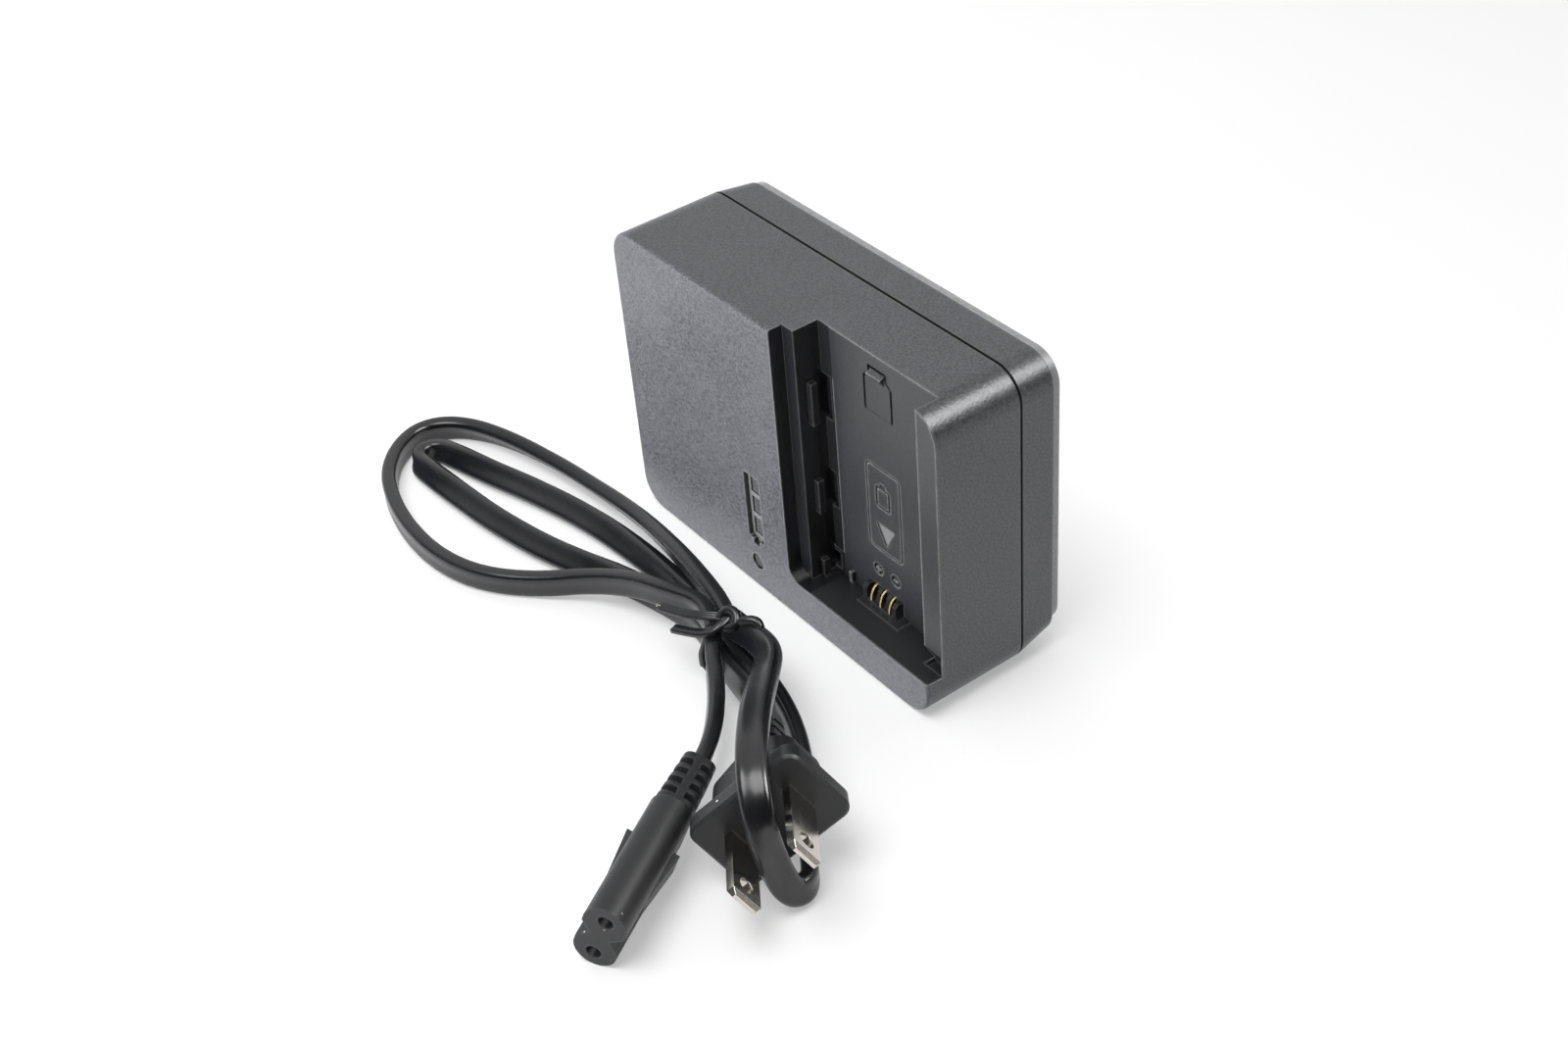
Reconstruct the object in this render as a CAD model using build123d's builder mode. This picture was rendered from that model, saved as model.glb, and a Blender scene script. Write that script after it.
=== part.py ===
# Camera battery charger with a detachable mains lead.
# Frame: millimetres, +Z up, the front face looks towards -Y, origin under the middle of the charger.
import math
import os

from build123d import *

# Housing outline
WIDTH = 90.0
HEIGHT = 64.0
FRONT_Y = -15.6
SEAM_Y = 6.5
SEAM_GAP = 0.4
REAR_Y = 14.0
BACK_Y = 15.6
CORNER_R = 6.0
WALL = 2.0
FRONT_EDGE_R = 0.7
LEFT = -WIDTH / 2
RIGHT = WIDTH / 2

# Rear cover: its left end and its underside lean inward
REAR_LEAN_LEFT = 1.9
REAR_LEAN_BOTTOM = 2.4
PANEL_LEFT = LEFT + 2.6
PANEL_RIGHT = RIGHT - 0.3
PANEL_BOTTOM = 4.4
PANEL_TOP = HEIGHT - 0.3
PANEL_R = 5.6
LIP_T = 1.2
LIP_REACH = 1.6
LIP_SLACK = 0.1

# Battery bay
BAY_LEFT = 4.9
BAY_BOTTOM = 8.7
BAY_CORNER_R = 3.0
LEDGE_Y = -12.5
FLOOR_LEFT = 7.95
FLOOR_Y = -6.95
FLOOR_BACK_Y = FLOOR_Y + WALL
RAIL_LEFT = RIGHT - 5.0
RAIL_Y = -11.9
RAIL_POCKET = (RIGHT - 0.5, -9.6, 7.7, 13.0)
TAB_PROUD = 1.1
TAB_Y = (-10.3, -8.9)
TAB_SPANS = ((43.2, 52.2), (23.4, 30.8), (8.7, 12.4))
TAB_POCKET_WIDTH = 1.9
TAB_POCKET_DEPTH = 1.2
TAB_POCKET_SHIFT = 0.6
CHANNEL = (FLOOR_LEFT, 10.9, 14.0, 53.0)
CHANNEL_DEPTH = 0.35
RIB = (13.2, 14.0, 8.7, 11.2)
RIB_PROUD = 0.8

# Latch tongue
MID_X = 23.8
TONGUE_TOP_HALF = 2.0
TONGUE_HALF = 3.4
TONGUE_TIP_Z = HEIGHT - 3.1
TONGUE_NECK_Z = TONGUE_TIP_Z - 1.05
TONGUE_LENGTH = 9.2
TONGUE_HINGE_Z = TONGUE_TIP_Z - TONGUE_LENGTH
SLIT = 0.45
SLIT_RISE = 0.18
BUMP_PROUD = 0.9
BUMP_BELOW_TIP = (0.3, 0.65, 0.95, 2.1)
BUMP_SIDE = 0.1
BUMP_ROOT = 0.5

# Marks on the bay floor
MARK_DEPTH = 0.25
MARK_LINE = 0.35
FRAME_BOX = (19.2, 28.7, 21.2, 40.3)
FRAME_R = 1.4
ICON_BOX = (21.7, 25.7, 31.2, 35.9)
ICON_LINE = 0.5
ICON_R = 0.6
ICON_NUB = (1.6, 0.8)
ARROW = ((21.5, 27.4), (26.4, 27.4), (23.95, 22.9))
POLE_X = (21.3, 26.25)
POLE_Z = 16.25
POLE_R = 1.25
POLE_DEPTH = 0.35
POLE_BAR = (1.5, 0.36)

# Contacts
HOLDER = (18.7, 28.1, 8.7, 12.4)
HOLDER_PROUD = 1.85
HOLDER_FLANGE = 1.2
HOLDER_LAP = 1.2
CHEEK = 1.0
CHEEK_CUT = 0.7
COMB_T = 0.8
COMB_BACK = (0.5, 0.6, 1.1)
COMB_RISE = 0.4
COMB_DROP = (0.9, 0.3)
PAD = (18.4, 30.2, -10.2)
PAD_PROUD = 0.3
BLADE_X = (20.8, 23.4, 26.0)
BLADE_T = 0.4
BLADE_BACK = 0.1
BLADE_ROOT = 0.8
BLADE_Z = (9.3, 12.4)
TAIL_Z = (10.2, 11.4)

# Gauge and lamp on the front face
GAUGE_BOX = (-7.45, -2.8, 11.8, 27.2)
GAUGE_DEPTH = 0.9
GAUGE_R = 0.6
CELL = (2.9, 3.9)
CELL_Z = (14.6, 19.5, 24.4)
CELL_SUNK = 0.4
NUB = (1.8, 1.0)
LAMP_X = -5.4
LAMP_Z = 6.5
LAMP_R = 1.7
LAMP_SUNK = 0.6
LENS_FLANGE = (0.6, 0.8)
GUIDE_T = 1.2
GUIDE_HALF = 2.6

# Screws and posts
SCREW_INSET = (7.5, 8.0)
SCREW_XZ = [
    (x, z)
    for x in (LEFT + SCREW_INSET[0], RIGHT - SCREW_INSET[0])
    for z in (SCREW_INSET[1], HEIGHT - SCREW_INSET[1])
]
POST_R = 3.1
POST_MEET_Y = 2.0
SCREW_R = 1.1
SCREW_HEAD_R = 2.1
SCREW_HEAD_T = 1.6
SCREW_SEAT_Y = 6.0
SCREW_TIP_Y = -2.6
COUNTERBORE_R = 2.4
DRIVE_HALF = (1.3, 0.25)
DRIVE_DEPTH = 0.8

# Mains inlet in the left end
INLET_Y = -4.0
INLET_Z = HEIGHT / 2
INLET_OUTER = (17.8, 10.8)
INLET_OPEN = (15.4, 8.4)
INLET_DEPTH = 11.6
INLET_BASE = 2.0
INLET_FLANGE = (1.2, 1.5)
PIN_PITCH = 8.6
PIN_R = 1.2
PIN_LENGTH = 9.0
PIN_NECK = 0.5
PIN_NECK_R = 0.9
PIN_TAIL = 2.0
PIN_STRAP = 1.2

# Circuit board and lamp board
BOARD_FRONT_Y = 8.0
BOARD_T = 1.6
BOARD_LEFT = LEFT + 4.4
BOARD_RIGHT = RIGHT - 3.8
BOARD_BOTTOM = 5.2
BOARD_TOP = HEIGHT - 4.1
BOARD_NOTCH = 8.2
STANDOFF_R = 2.0
STANDOFF_IN = (15.6, 25.6, 16.2)
STANDOFF_LOW = 1.8
STANDOFF_HIGH = 2.9
STANDOFF_XZ = (
    (BOARD_LEFT + STANDOFF_IN[0], BOARD_BOTTOM + STANDOFF_LOW),
    (BOARD_RIGHT - STANDOFF_IN[2], BOARD_BOTTOM + STANDOFF_LOW),
    (BOARD_LEFT + STANDOFF_IN[1], BOARD_TOP - STANDOFF_HIGH),
    (BOARD_RIGHT - STANDOFF_IN[2], BOARD_TOP - STANDOFF_HIGH),
)
LAMP_BOARD = (-10.8, 0.6, 2.8, 29.6)
LAMP_BOARD_Y = -11.2
LAMP_BOARD_T = 1.0
LAMP_POSTS = ((-9.4, 28.0), (-0.8, 4.4))
LAMP_POST_R = 1.2
LED = (2.0, 0.9, 1.6)
HEADER_X = -1.2
HEADER_Z = (16.0, 18.54, 21.08)
HEADER_W = 0.64

# Parts on the circuit board
CORE_X = (-21.0, -1.0)
CORE_Y = (-3.0, 5.0)
CORE_BELOW_TOP = (34.0, 16.0)
CORE_Z = (HEIGHT - CORE_BELOW_TOP[0], HEIGHT - CORE_BELOW_TOP[1])
CORE_LIMB = 3.5
COIL_FRONT_Y = -6.0
COIL_R = 0.8
BULK_BELOW_TOP = 9.4
BULK_AT = (-22.5, HEIGHT - BULK_BELOW_TOP)
BULK_R = 5.0
BULK_FRONT_Y = -8.0
CAN_EDGE_R = 0.7
FILM_BOX = (-15.5, -2.5, 13.5, 19.5)
FILM_FRONT_Y = -3.0
FILTER_AT = (-23.5, 14.5)
FILTER_R = (7.0, 2.8)
FILTER_FRONT_Y = 1.0
FUSE_X = (-36.0, -26.0)
FUSE_BELOW_TOP = 19.0
FUSE_Z = HEIGHT - FUSE_BELOW_TOP
FUSE_R = 1.8
BRIDGE_BOX = (-15.0, -6.0, 5.0, 11.5)
BRIDGE_FRONT_Y = 4.8
SINK_BOX = (0.2, 1.7, 34.0, 53.0)
SINK_FRONT_Y = -8.0
CHIP_T = 4.2
CHIP_Y = (-4.0, 4.5)
CHIP_Z = (38.0, 48.0)
CHIP_LEGS_Z = (40.5, 43.0, 45.5)
CHIP_LEG_W = 0.8
OUTPUT_BELOW_TOP = 16.0
OUTPUT_AT = (15.0, HEIGHT - OUTPUT_BELOW_TOP)
OUTPUT_R = 4.0
OUTPUT_FRONT_Y = -3.2
DIODE_X = (10.0, 19.0)
DIODE_Z = 37.0
DIODE_R = 2.5
CONTROLLER_BOX = (14.0, 24.0, 22.0, 28.0)
CONTROLLER_T = 1.7

# Mains lead, lying unplugged in front of the charger
CORD_R = 2.0
CORD_POINTS = (
    (20.5, -43.8, 6.9), (13.5, -39.6, 8.0), (7.1, -35.4, 8.4), (-0.5, -32.9, 8.4),
    (-7.5, -35.6, 7.6), (-15.5, -37.6, 6.0), (-24.5, -42.0, 3.6), (-32.5, -49.6, 2.1),
    (-41.0, -56.6, 2.1), (-51.0, -60.0, 2.1), (-62.5, -60.4, 2.1), (-74.0, -58.4, 2.1),
    (-83.5, -54.8, 2.1), (-90.5, -48.6, 2.1), (-93.6, -41.3, 2.1), (-90.4, -34.4, 2.1),
    (-81.0, -28.9, 2.1), (-66.0, -25.2, 2.1), (-50.0, -23.2, 2.1), (-34.0, -23.2, 3.2),
    (-14.0, -26.6, 6.8), (0.9, -28.6, 8.4), (8.5, -31.1, 8.4), (15.5, -31.6, 10.4),
    (24.4, -34.2, 13.8), (33.5, -42.0, 19.0), (43.5, -50.95, 23.3), (53.85, -59.1, 25.0),
    (60.45, -62.9, 19.6), (62.1, -62.15, 10.3), (63.8, -60.4, 3.4), (63.8, -56.2, 2.1),
    (58.4, -52.8, 2.1), (50.0, -46.4, 2.1), (40.0, -39.4, 2.1), (30.0, -34.8, 2.1),
    (19.0, -32.2, 2.6), (8.5, -31.1, 4.0), (0.9, -28.6, 4.0), (-12.0, -28.8, 2.6),
    (-28.4, -29.0, 2.1), (-43.0, -30.2, 2.1), (-58.0, -33.4, 2.1), (-70.5, -37.2, 2.1),
    (-79.5, -39.7, 2.1), (-86.0, -41.8, 2.1), (-85.6, -47.4, 2.1), (-78.0, -47.0, 2.1),
    (-68.5, -46.1, 2.1), (-57.0, -45.0, 2.1), (-42.5, -42.4, 2.1), (-31.0, -39.0, 2.1),
    (-21.0, -35.6, 2.1), (-11.5, -33.6, 2.9), (-0.5, -32.9, 4.0), (7.1, -35.4, 4.0),
    (15.4, -36.4, 4.0),
)
CORD_END_RUN = 7.0
BEND_SHARE = 0.45
TIE_AT = (4.0, -32.0, 6.2)
TIE_ALONG = (0.9507, -0.3102, 0.0)
TIE_ACROSS = (0.3102, 0.9507, 0.0)
TIE_R = 0.9
TIE_HALF = (5.35, 5.2)
TIE_CORNER_R = 2.9
TIE_KNOT = (3.2, -33.4, 12.3)
TIE_KNOT_R = 1.7
TIE_TAIL_BEND = 2.6
TIE_TAILS = (
    ((3.2, -33.4, 12.2), (-2.5, -37.2, 11.0), (-6.5, -40.2, 9.0)),
    ((3.2, -34.2, 12.8), (2.0, -38.8, 9.8), (-2.2, -40.6, 4.6)),
)

# Connector on the lead: a stadium nose with two sockets, leaning as it lies
NOSE_AT = (53.9, -90.6, 7.05)
NOSE_AXIS = (0.5239, -0.8518, 0.0)
NOSE_UP = (0.3191, 0.1963, 0.9272)
NOSE = (14.6, 7.6)
NOSE_LENGTH = 26.0
NOSE_HOLE_R = 1.35
NOSE_HOLE_DEPTH = 12.0
SLEEVE_R = 1.8
SLEEVE_BORE_R = 1.25
SLEEVE_FROM = 2.0
WAIST = (4.4, 2.0)
WAIST_LENGTH = 10.0
WING_FROM = 19.4
WING_LENGTH = 10.8
WING_PROUD = 1.1
WING_WIDTH = 5.0
STRAIN_LENGTH = 12.4
STRAIN_ROOT = (12.0, 7.0, 2.0)
STRAIN_END = (9.4, 6.0, 1.8)
STRAIN_SLOTS = 4
STRAIN_SLOT = (1.5, 0.75)
STRAIN_PITCH = 2.5
STRAIN_FIRST = 1.6

# Two-blade plug, leaning on a corner of its flange
PLUG_AT = (56.29, -58.23, 12.86)
PLUG_AXIS = (0.8207, -0.5385, 0.1912)
PLUG_ACROSS = (0.3398, 0.7289, 0.5943)
FLANGE = (23.4, 15.8, 2.4)
FLANGE_T = 3.5
FLANGE_EDGE = 0.5
GRIP_SECTIONS = ((20.6, 13.4, 3.0), (18.0, 11.6, 3.0), (17.4, 11.2, 3.0), (10.6, 8.4, 2.6))
GRIP_AT = (0.0, 4.0, 8.8, 13.5)
GRIP_LENGTH = GRIP_AT[-1]
PLUG_STRAIN = 13.0
PLUG_STRAIN_ROOT = (8.6, 6.8, 2.0)
PLUG_STRAIN_END = (6.4, 5.2, 1.6)
PLUG_SLOTS = 3
PLUG_SLOT = (1.4, 1.9)
PLUG_SLOT_PITCH = 3.2
PLUG_SLOT_FIRST = 2.2
PRONG_PITCH = 12.7
PRONG = (1.5, 6.35, 15.9)
PRONG_ROOT = 5.5
PRONG_TIP = (1.1, 0.4)
PRONG_HOLE_R = 1.6
PRONG_HOLE_AT = 11.9

os.makedirs("parts", exist_ok=True)


def front_plane(y):
    """A sketch plane facing the front: its first axis is X and its second is Z."""
    return Plane.XZ.offset(-y)


def block(x0, x1, y0, y1, z0, z1, mode=Mode.ADD):
    """A box between the given limits."""
    with Locations(((x0 + x1) / 2, (y0 + y1) / 2, (z0 + z1) / 2)):
        Box(x1 - x0, y1 - y0, z1 - z0, mode=mode)


def drum(x, z, radius, y0, y1, mode=Mode.ADD):
    """A round bar along Y between the given limits."""
    with Locations(Location((x, (y0 + y1) / 2, z), (90, 0, 0))):
        Cylinder(radius, y1 - y0, mode=mode)


def tongue_outline(side, end, rise):
    """The latch tongue's outline seen from the front, grown by the given amounts."""
    top_half = TONGUE_TOP_HALF + side
    half = TONGUE_HALF + side
    neck_z = TONGUE_NECK_Z + rise
    shoulder_z = neck_z - (half - top_half)
    right = [
        (MID_X + top_half, TONGUE_TIP_Z + end),
        (MID_X + top_half, neck_z),
        (MID_X + half, shoulder_z),
        (MID_X + half, TONGUE_HINGE_Z),
    ]
    return right + [(2 * MID_X - x, z) for x, z in reversed(right)]


def keep(piece, name):
    """Name a finished piece and save it."""
    piece.part.label = name
    export_step(piece.part, "parts/" + name + ".step")
    print(name, round(piece.part.volume, 1), "mm3")


# Front shell
with BuildPart() as front_shell:
    with BuildSketch(front_plane(FRONT_Y)):
        with Locations((0, HEIGHT / 2)):
            RectangleRounded(WIDTH, HEIGHT, CORNER_R)
    extrude(amount=-(SEAM_Y - FRONT_Y))
    fillet(front_shell.edges().group_by(Axis.Y)[0], FRONT_EDGE_R)
    # Hollow: an L beside and below the bay, then the full outline behind the bay floor
    with BuildSketch(front_plane(FRONT_Y + WALL)):
        with Locations((0, HEIGHT / 2)):
            RectangleRounded(WIDTH - 2 * WALL, HEIGHT - 2 * WALL, CORNER_R - WALL)
        with Locations(((BAY_LEFT - WALL + RIGHT) / 2, (BAY_BOTTOM - WALL + HEIGHT) / 2)):
            Rectangle(RIGHT - BAY_LEFT + WALL, HEIGHT - BAY_BOTTOM + WALL, mode=Mode.SUBTRACT)
    extrude(amount=-(FLOOR_BACK_Y - FRONT_Y - WALL), mode=Mode.SUBTRACT)
    with BuildSketch(front_plane(FLOOR_BACK_Y)):
        with Locations((0, HEIGHT / 2)):
            RectangleRounded(WIDTH - 2 * WALL, HEIGHT - 2 * WALL, CORNER_R - WALL)
    extrude(amount=-(SEAM_Y - FLOOR_BACK_Y), mode=Mode.SUBTRACT)
    # Bay: the ledge step, open to the top and to the right
    with BuildSketch(front_plane(FRONT_Y)):
        with BuildLine():
            FilletPolyline(
                (RIGHT + 1, BAY_BOTTOM), (BAY_LEFT, BAY_BOTTOM), (BAY_LEFT, HEIGHT + 1), radius=BAY_CORNER_R
            )
            Polyline((BAY_LEFT, HEIGHT + 1), (RIGHT + 1, HEIGHT + 1), (RIGHT + 1, BAY_BOTTOM))
        make_face()
    extrude(amount=-(LEDGE_Y - FRONT_Y), mode=Mode.SUBTRACT)
    block(RAIL_LEFT, RIGHT + 1, LEDGE_Y - 1, RAIL_Y, BAY_BOTTOM, HEIGHT + 1, Mode.SUBTRACT)
    block(FLOOR_LEFT, RAIL_LEFT, LEDGE_Y - 1, FLOOR_Y, BAY_BOTTOM, HEIGHT + 1, Mode.SUBTRACT)
    # Slanted pocket at the foot of the rail
    with BuildSketch(Plane.YZ.offset(RAIL_LEFT)):
        with BuildLine():
            Polyline(
                (RAIL_Y, RAIL_POCKET[2]),
                (RAIL_POCKET[1], RAIL_POCKET[2]),
                (RAIL_POCKET[1], BAY_BOTTOM),
                (RAIL_Y, RAIL_POCKET[3]),
                close=True,
            )
        make_face()
    extrude(amount=RAIL_POCKET[0] - RAIL_LEFT, mode=Mode.SUBTRACT)
    # Hook tabs on the left wall of the bay, with a core pocket in the floor beside each
    for low, high in TAB_SPANS:
        block(FLOOR_LEFT - 0.5, FLOOR_LEFT + TAB_PROUD, TAB_Y[0], TAB_Y[1], low, high)
        block(
            FLOOR_LEFT,
            FLOOR_LEFT + TAB_POCKET_WIDTH,
            FLOOR_Y - 0.2,
            FLOOR_Y + TAB_POCKET_DEPTH,
            low + (0 if low > BAY_BOTTOM else TAB_POCKET_SHIFT),
            high + TAB_POCKET_SHIFT,
            Mode.SUBTRACT,
        )
    block(CHANNEL[0], CHANNEL[1], FLOOR_Y - 0.2, FLOOR_Y + CHANNEL_DEPTH, CHANNEL[2], CHANNEL[3], Mode.SUBTRACT)
    block(RIB[0], RIB[1], FLOOR_Y - RIB_PROUD, FLOOR_Y + 0.5, RIB[2] - 0.5, RIB[3])
    # Low pad that the contact holder stands on
    block(PAD[0], PAD[1], PAD[2], FLOOR_Y + 0.5, BAY_BOTTOM - 0.5, BAY_BOTTOM + PAD_PROUD)
    block(
        HOLDER[0], HOLDER[1], FLOOR_Y - HOLDER_PROUD, FLOOR_Y + 0.5, BAY_BOTTOM, BAY_BOTTOM + PAD_PROUD + 0.5,
        Mode.SUBTRACT,
    )
    # Latch tongue: a slit round three sides leaves it hinged at its lower end
    with BuildSketch(front_plane(FLOOR_Y)):
        with BuildLine():
            Polyline(*tongue_outline(SLIT, SLIT, SLIT_RISE), close=True)
        make_face()
        with BuildLine():
            Polyline(*tongue_outline(0, 0, 0), close=True)
        make_face(mode=Mode.SUBTRACT)
    extrude(amount=-WALL, mode=Mode.SUBTRACT)
    # Its catch: a nearly level top, a blunt front and a long ramp below
    with BuildSketch(Plane.YZ.offset(MID_X - TONGUE_TOP_HALF + BUMP_SIDE)):
        with BuildLine():
            bump_z = [TONGUE_TIP_Z - below for below in BUMP_BELOW_TIP]
            Polyline(
                (FLOOR_Y + BUMP_ROOT, bump_z[0]),
                (FLOOR_Y, bump_z[0]),
                (FLOOR_Y - BUMP_PROUD, bump_z[1]),
                (FLOOR_Y - BUMP_PROUD, bump_z[2]),
                (FLOOR_Y, bump_z[3]),
                (FLOOR_Y + BUMP_ROOT, bump_z[3]),
                close=True,
            )
        make_face()
    extrude(amount=2 * (TONGUE_TOP_HALF - BUMP_SIDE))
    # Engraved frame, battery sign, arrow and polarity marks
    with BuildSketch(front_plane(FLOOR_Y)):
        with Locations(((FRAME_BOX[0] + FRAME_BOX[1]) / 2, (FRAME_BOX[2] + FRAME_BOX[3]) / 2)):
            frame_w = FRAME_BOX[1] - FRAME_BOX[0]
            frame_h = FRAME_BOX[3] - FRAME_BOX[2]
            RectangleRounded(frame_w, frame_h, FRAME_R)
            RectangleRounded(
                frame_w - 2 * MARK_LINE, frame_h - 2 * MARK_LINE, FRAME_R - MARK_LINE, mode=Mode.SUBTRACT
            )
        with Locations(((ICON_BOX[0] + ICON_BOX[1]) / 2, (ICON_BOX[2] + ICON_BOX[3]) / 2)):
            icon_w = ICON_BOX[1] - ICON_BOX[0]
            icon_h = ICON_BOX[3] - ICON_BOX[2]
            RectangleRounded(icon_w, icon_h, ICON_R)
            RectangleRounded(
                icon_w - 2 * ICON_LINE, icon_h - 2 * ICON_LINE, ICON_R / 2, mode=Mode.SUBTRACT
            )
        with Locations(((ICON_BOX[0] + ICON_BOX[1]) / 2, ICON_BOX[3] + ICON_NUB[1] / 2)):
            Rectangle(*ICON_NUB)
        with BuildLine():
            Polyline(*ARROW, close=True)
        make_face()
    extrude(amount=-MARK_DEPTH, mode=Mode.SUBTRACT)
    with BuildSketch(front_plane(FLOOR_Y)):
        for x in POLE_X:
            with Locations((x, POLE_Z)):
                Circle(POLE_R)
                Rectangle(*POLE_BAR, mode=Mode.SUBTRACT)
        with Locations((POLE_X[0], POLE_Z)):
            Rectangle(*POLE_BAR, rotation=90, mode=Mode.SUBTRACT)
    extrude(amount=-POLE_DEPTH, mode=Mode.SUBTRACT)
    # Opening for the contact holder
    block(HOLDER[0], HOLDER[1], FLOOR_Y - 0.5, FLOOR_BACK_Y + 0.5, HOLDER[2], HOLDER[3], Mode.SUBTRACT)
    # Gauge recess with a nub, three window cells and the lamp hole
    with BuildSketch(front_plane(FRONT_Y)):
        gauge_x = (GAUGE_BOX[0] + GAUGE_BOX[1]) / 2
        with Locations((gauge_x, (GAUGE_BOX[2] + GAUGE_BOX[3]) / 2)):
            RectangleRounded(GAUGE_BOX[1] - GAUGE_BOX[0], GAUGE_BOX[3] - GAUGE_BOX[2], GAUGE_R)
        with Locations((gauge_x, GAUGE_BOX[2] - NUB[1] / 2)):
            Rectangle(NUB[0], NUB[1] + 0.4)
    extrude(amount=-GAUGE_DEPTH, mode=Mode.SUBTRACT)
    for z in CELL_Z:
        block(
            gauge_x - CELL[0] / 2,
            gauge_x + CELL[0] / 2,
            FRONT_Y + GAUGE_DEPTH - 0.2,
            FRONT_Y + WALL + 0.2,
            z - CELL[1] / 2,
            z + CELL[1] / 2,
            Mode.SUBTRACT,
        )
    drum(LAMP_X, LAMP_Z, LAMP_R, FRONT_Y - 0.2, FRONT_Y + WALL + 0.2, Mode.SUBTRACT)
    for x, z in LAMP_POSTS:
        drum(x, z, LAMP_POST_R, FRONT_Y + WALL - 0.5, LAMP_BOARD_Y)
    # Inlet opening in the left end
    with BuildSketch(Plane.YZ.offset(LEFT - 1)):
        with Locations((INLET_Y, INLET_Z)):
            SlotOverall(INLET_OUTER[0], INLET_OUTER[1], rotation=90)
    extrude(amount=WALL + 2, mode=Mode.SUBTRACT)
    # Screw bosses
    for x, z in SCREW_XZ:
        drum(x, z, POST_R, (FRONT_Y + WALL - 0.5) if x < 0 else FLOOR_Y + 1.0, POST_MEET_Y)
        drum(x, z, SCREW_R, SCREW_TIP_Y - 0.6, POST_MEET_Y + 0.2, Mode.SUBTRACT)
keep(front_shell, "front_shell")

# Rear cover
with BuildPart() as rear_cover:
    rim_y = SEAM_Y + SEAM_GAP
    back_cx = REAR_LEAN_LEFT / 2
    back_cz = (HEIGHT + REAR_LEAN_BOTTOM) / 2
    back_w = WIDTH - REAR_LEAN_LEFT
    back_h = HEIGHT - REAR_LEAN_BOTTOM
    with BuildSketch(front_plane(rim_y)):
        with Locations((0, HEIGHT / 2)):
            RectangleRounded(WIDTH, HEIGHT, CORNER_R)
    with BuildSketch(front_plane(REAR_Y)):
        with Locations((back_cx, back_cz)):
            RectangleRounded(back_w, back_h, CORNER_R)
    loft()
    # The inner half of the rim meets the front shell, and a lip reaches inside it
    with BuildSketch(front_plane(SEAM_Y)):
        with Locations((0, HEIGHT / 2)):
            RectangleRounded(WIDTH - WALL, HEIGHT - WALL, CORNER_R - WALL / 2)
    extrude(amount=-SEAM_GAP)
    outer = WALL + LIP_SLACK
    inner = outer + LIP_T
    with BuildSketch(front_plane(SEAM_Y - LIP_REACH)):
        with Locations((0, HEIGHT / 2)):
            RectangleRounded(WIDTH - 2 * outer, HEIGHT - 2 * outer, CORNER_R - outer)
    extrude(amount=-LIP_REACH)
    with BuildSketch(front_plane(SEAM_Y - LIP_REACH)):
        with Locations((0, HEIGHT / 2)):
            RectangleRounded(WIDTH - 2 * inner, HEIGHT - 2 * inner, CORNER_R - inner)
    extrude(amount=-LIP_REACH - SEAM_GAP, mode=Mode.SUBTRACT)
    with BuildSketch(front_plane(rim_y)):
        with Locations((0, HEIGHT / 2)):
            RectangleRounded(WIDTH - 2 * inner, HEIGHT - 2 * inner, CORNER_R - inner)
    with BuildSketch(front_plane(REAR_Y - WALL)):
        with Locations((back_cx, back_cz)):
            RectangleRounded(back_w - 2 * inner, back_h - 2 * inner, CORNER_R - inner)
    loft(mode=Mode.SUBTRACT)
    for x, z in STANDOFF_XZ:
        drum(x, z, STANDOFF_R, BOARD_FRONT_Y + BOARD_T, REAR_Y - WALL + 0.5)
    for x, z in SCREW_XZ:
        drum(x, z, POST_R, POST_MEET_Y, REAR_Y - WALL + 0.5)
        drum(x, z, SCREW_R + 0.2, POST_MEET_Y - 0.2, REAR_Y, Mode.SUBTRACT)
        drum(x, z, COUNTERBORE_R, SCREW_SEAT_Y, REAR_Y + 0.2, Mode.SUBTRACT)
keep(rear_cover, "rear_cover")

# Smooth raised panel on the back
with BuildPart() as back_panel:
    with BuildSketch(front_plane(REAR_Y)):
        with Locations(((PANEL_LEFT + PANEL_RIGHT) / 2, (PANEL_BOTTOM + PANEL_TOP) / 2)):
            RectangleRounded(PANEL_RIGHT - PANEL_LEFT, PANEL_TOP - PANEL_BOTTOM, PANEL_R)
    extrude(amount=-(BACK_Y - REAR_Y))
    for x, z in SCREW_XZ:
        drum(x, z, COUNTERBORE_R, REAR_Y - 0.2, BACK_Y + 0.2, Mode.SUBTRACT)
keep(back_panel, "back_panel")

# Housing screws, driven from the back
with BuildPart() as housing_screws:
    for x, z in SCREW_XZ:
        drum(x, z, SCREW_R, SCREW_TIP_Y, SCREW_SEAT_Y)
        drum(x, z, SCREW_HEAD_R, SCREW_SEAT_Y, SCREW_SEAT_Y + SCREW_HEAD_T)
        head_y = SCREW_SEAT_Y + SCREW_HEAD_T
        for half_x, half_z in (DRIVE_HALF, DRIVE_HALF[::-1]):
            block(
                x - half_x, x + half_x, head_y - DRIVE_DEPTH, head_y + 1, z - half_z, z + half_z, Mode.SUBTRACT
            )
keep(housing_screws, "housing_screws")

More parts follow.
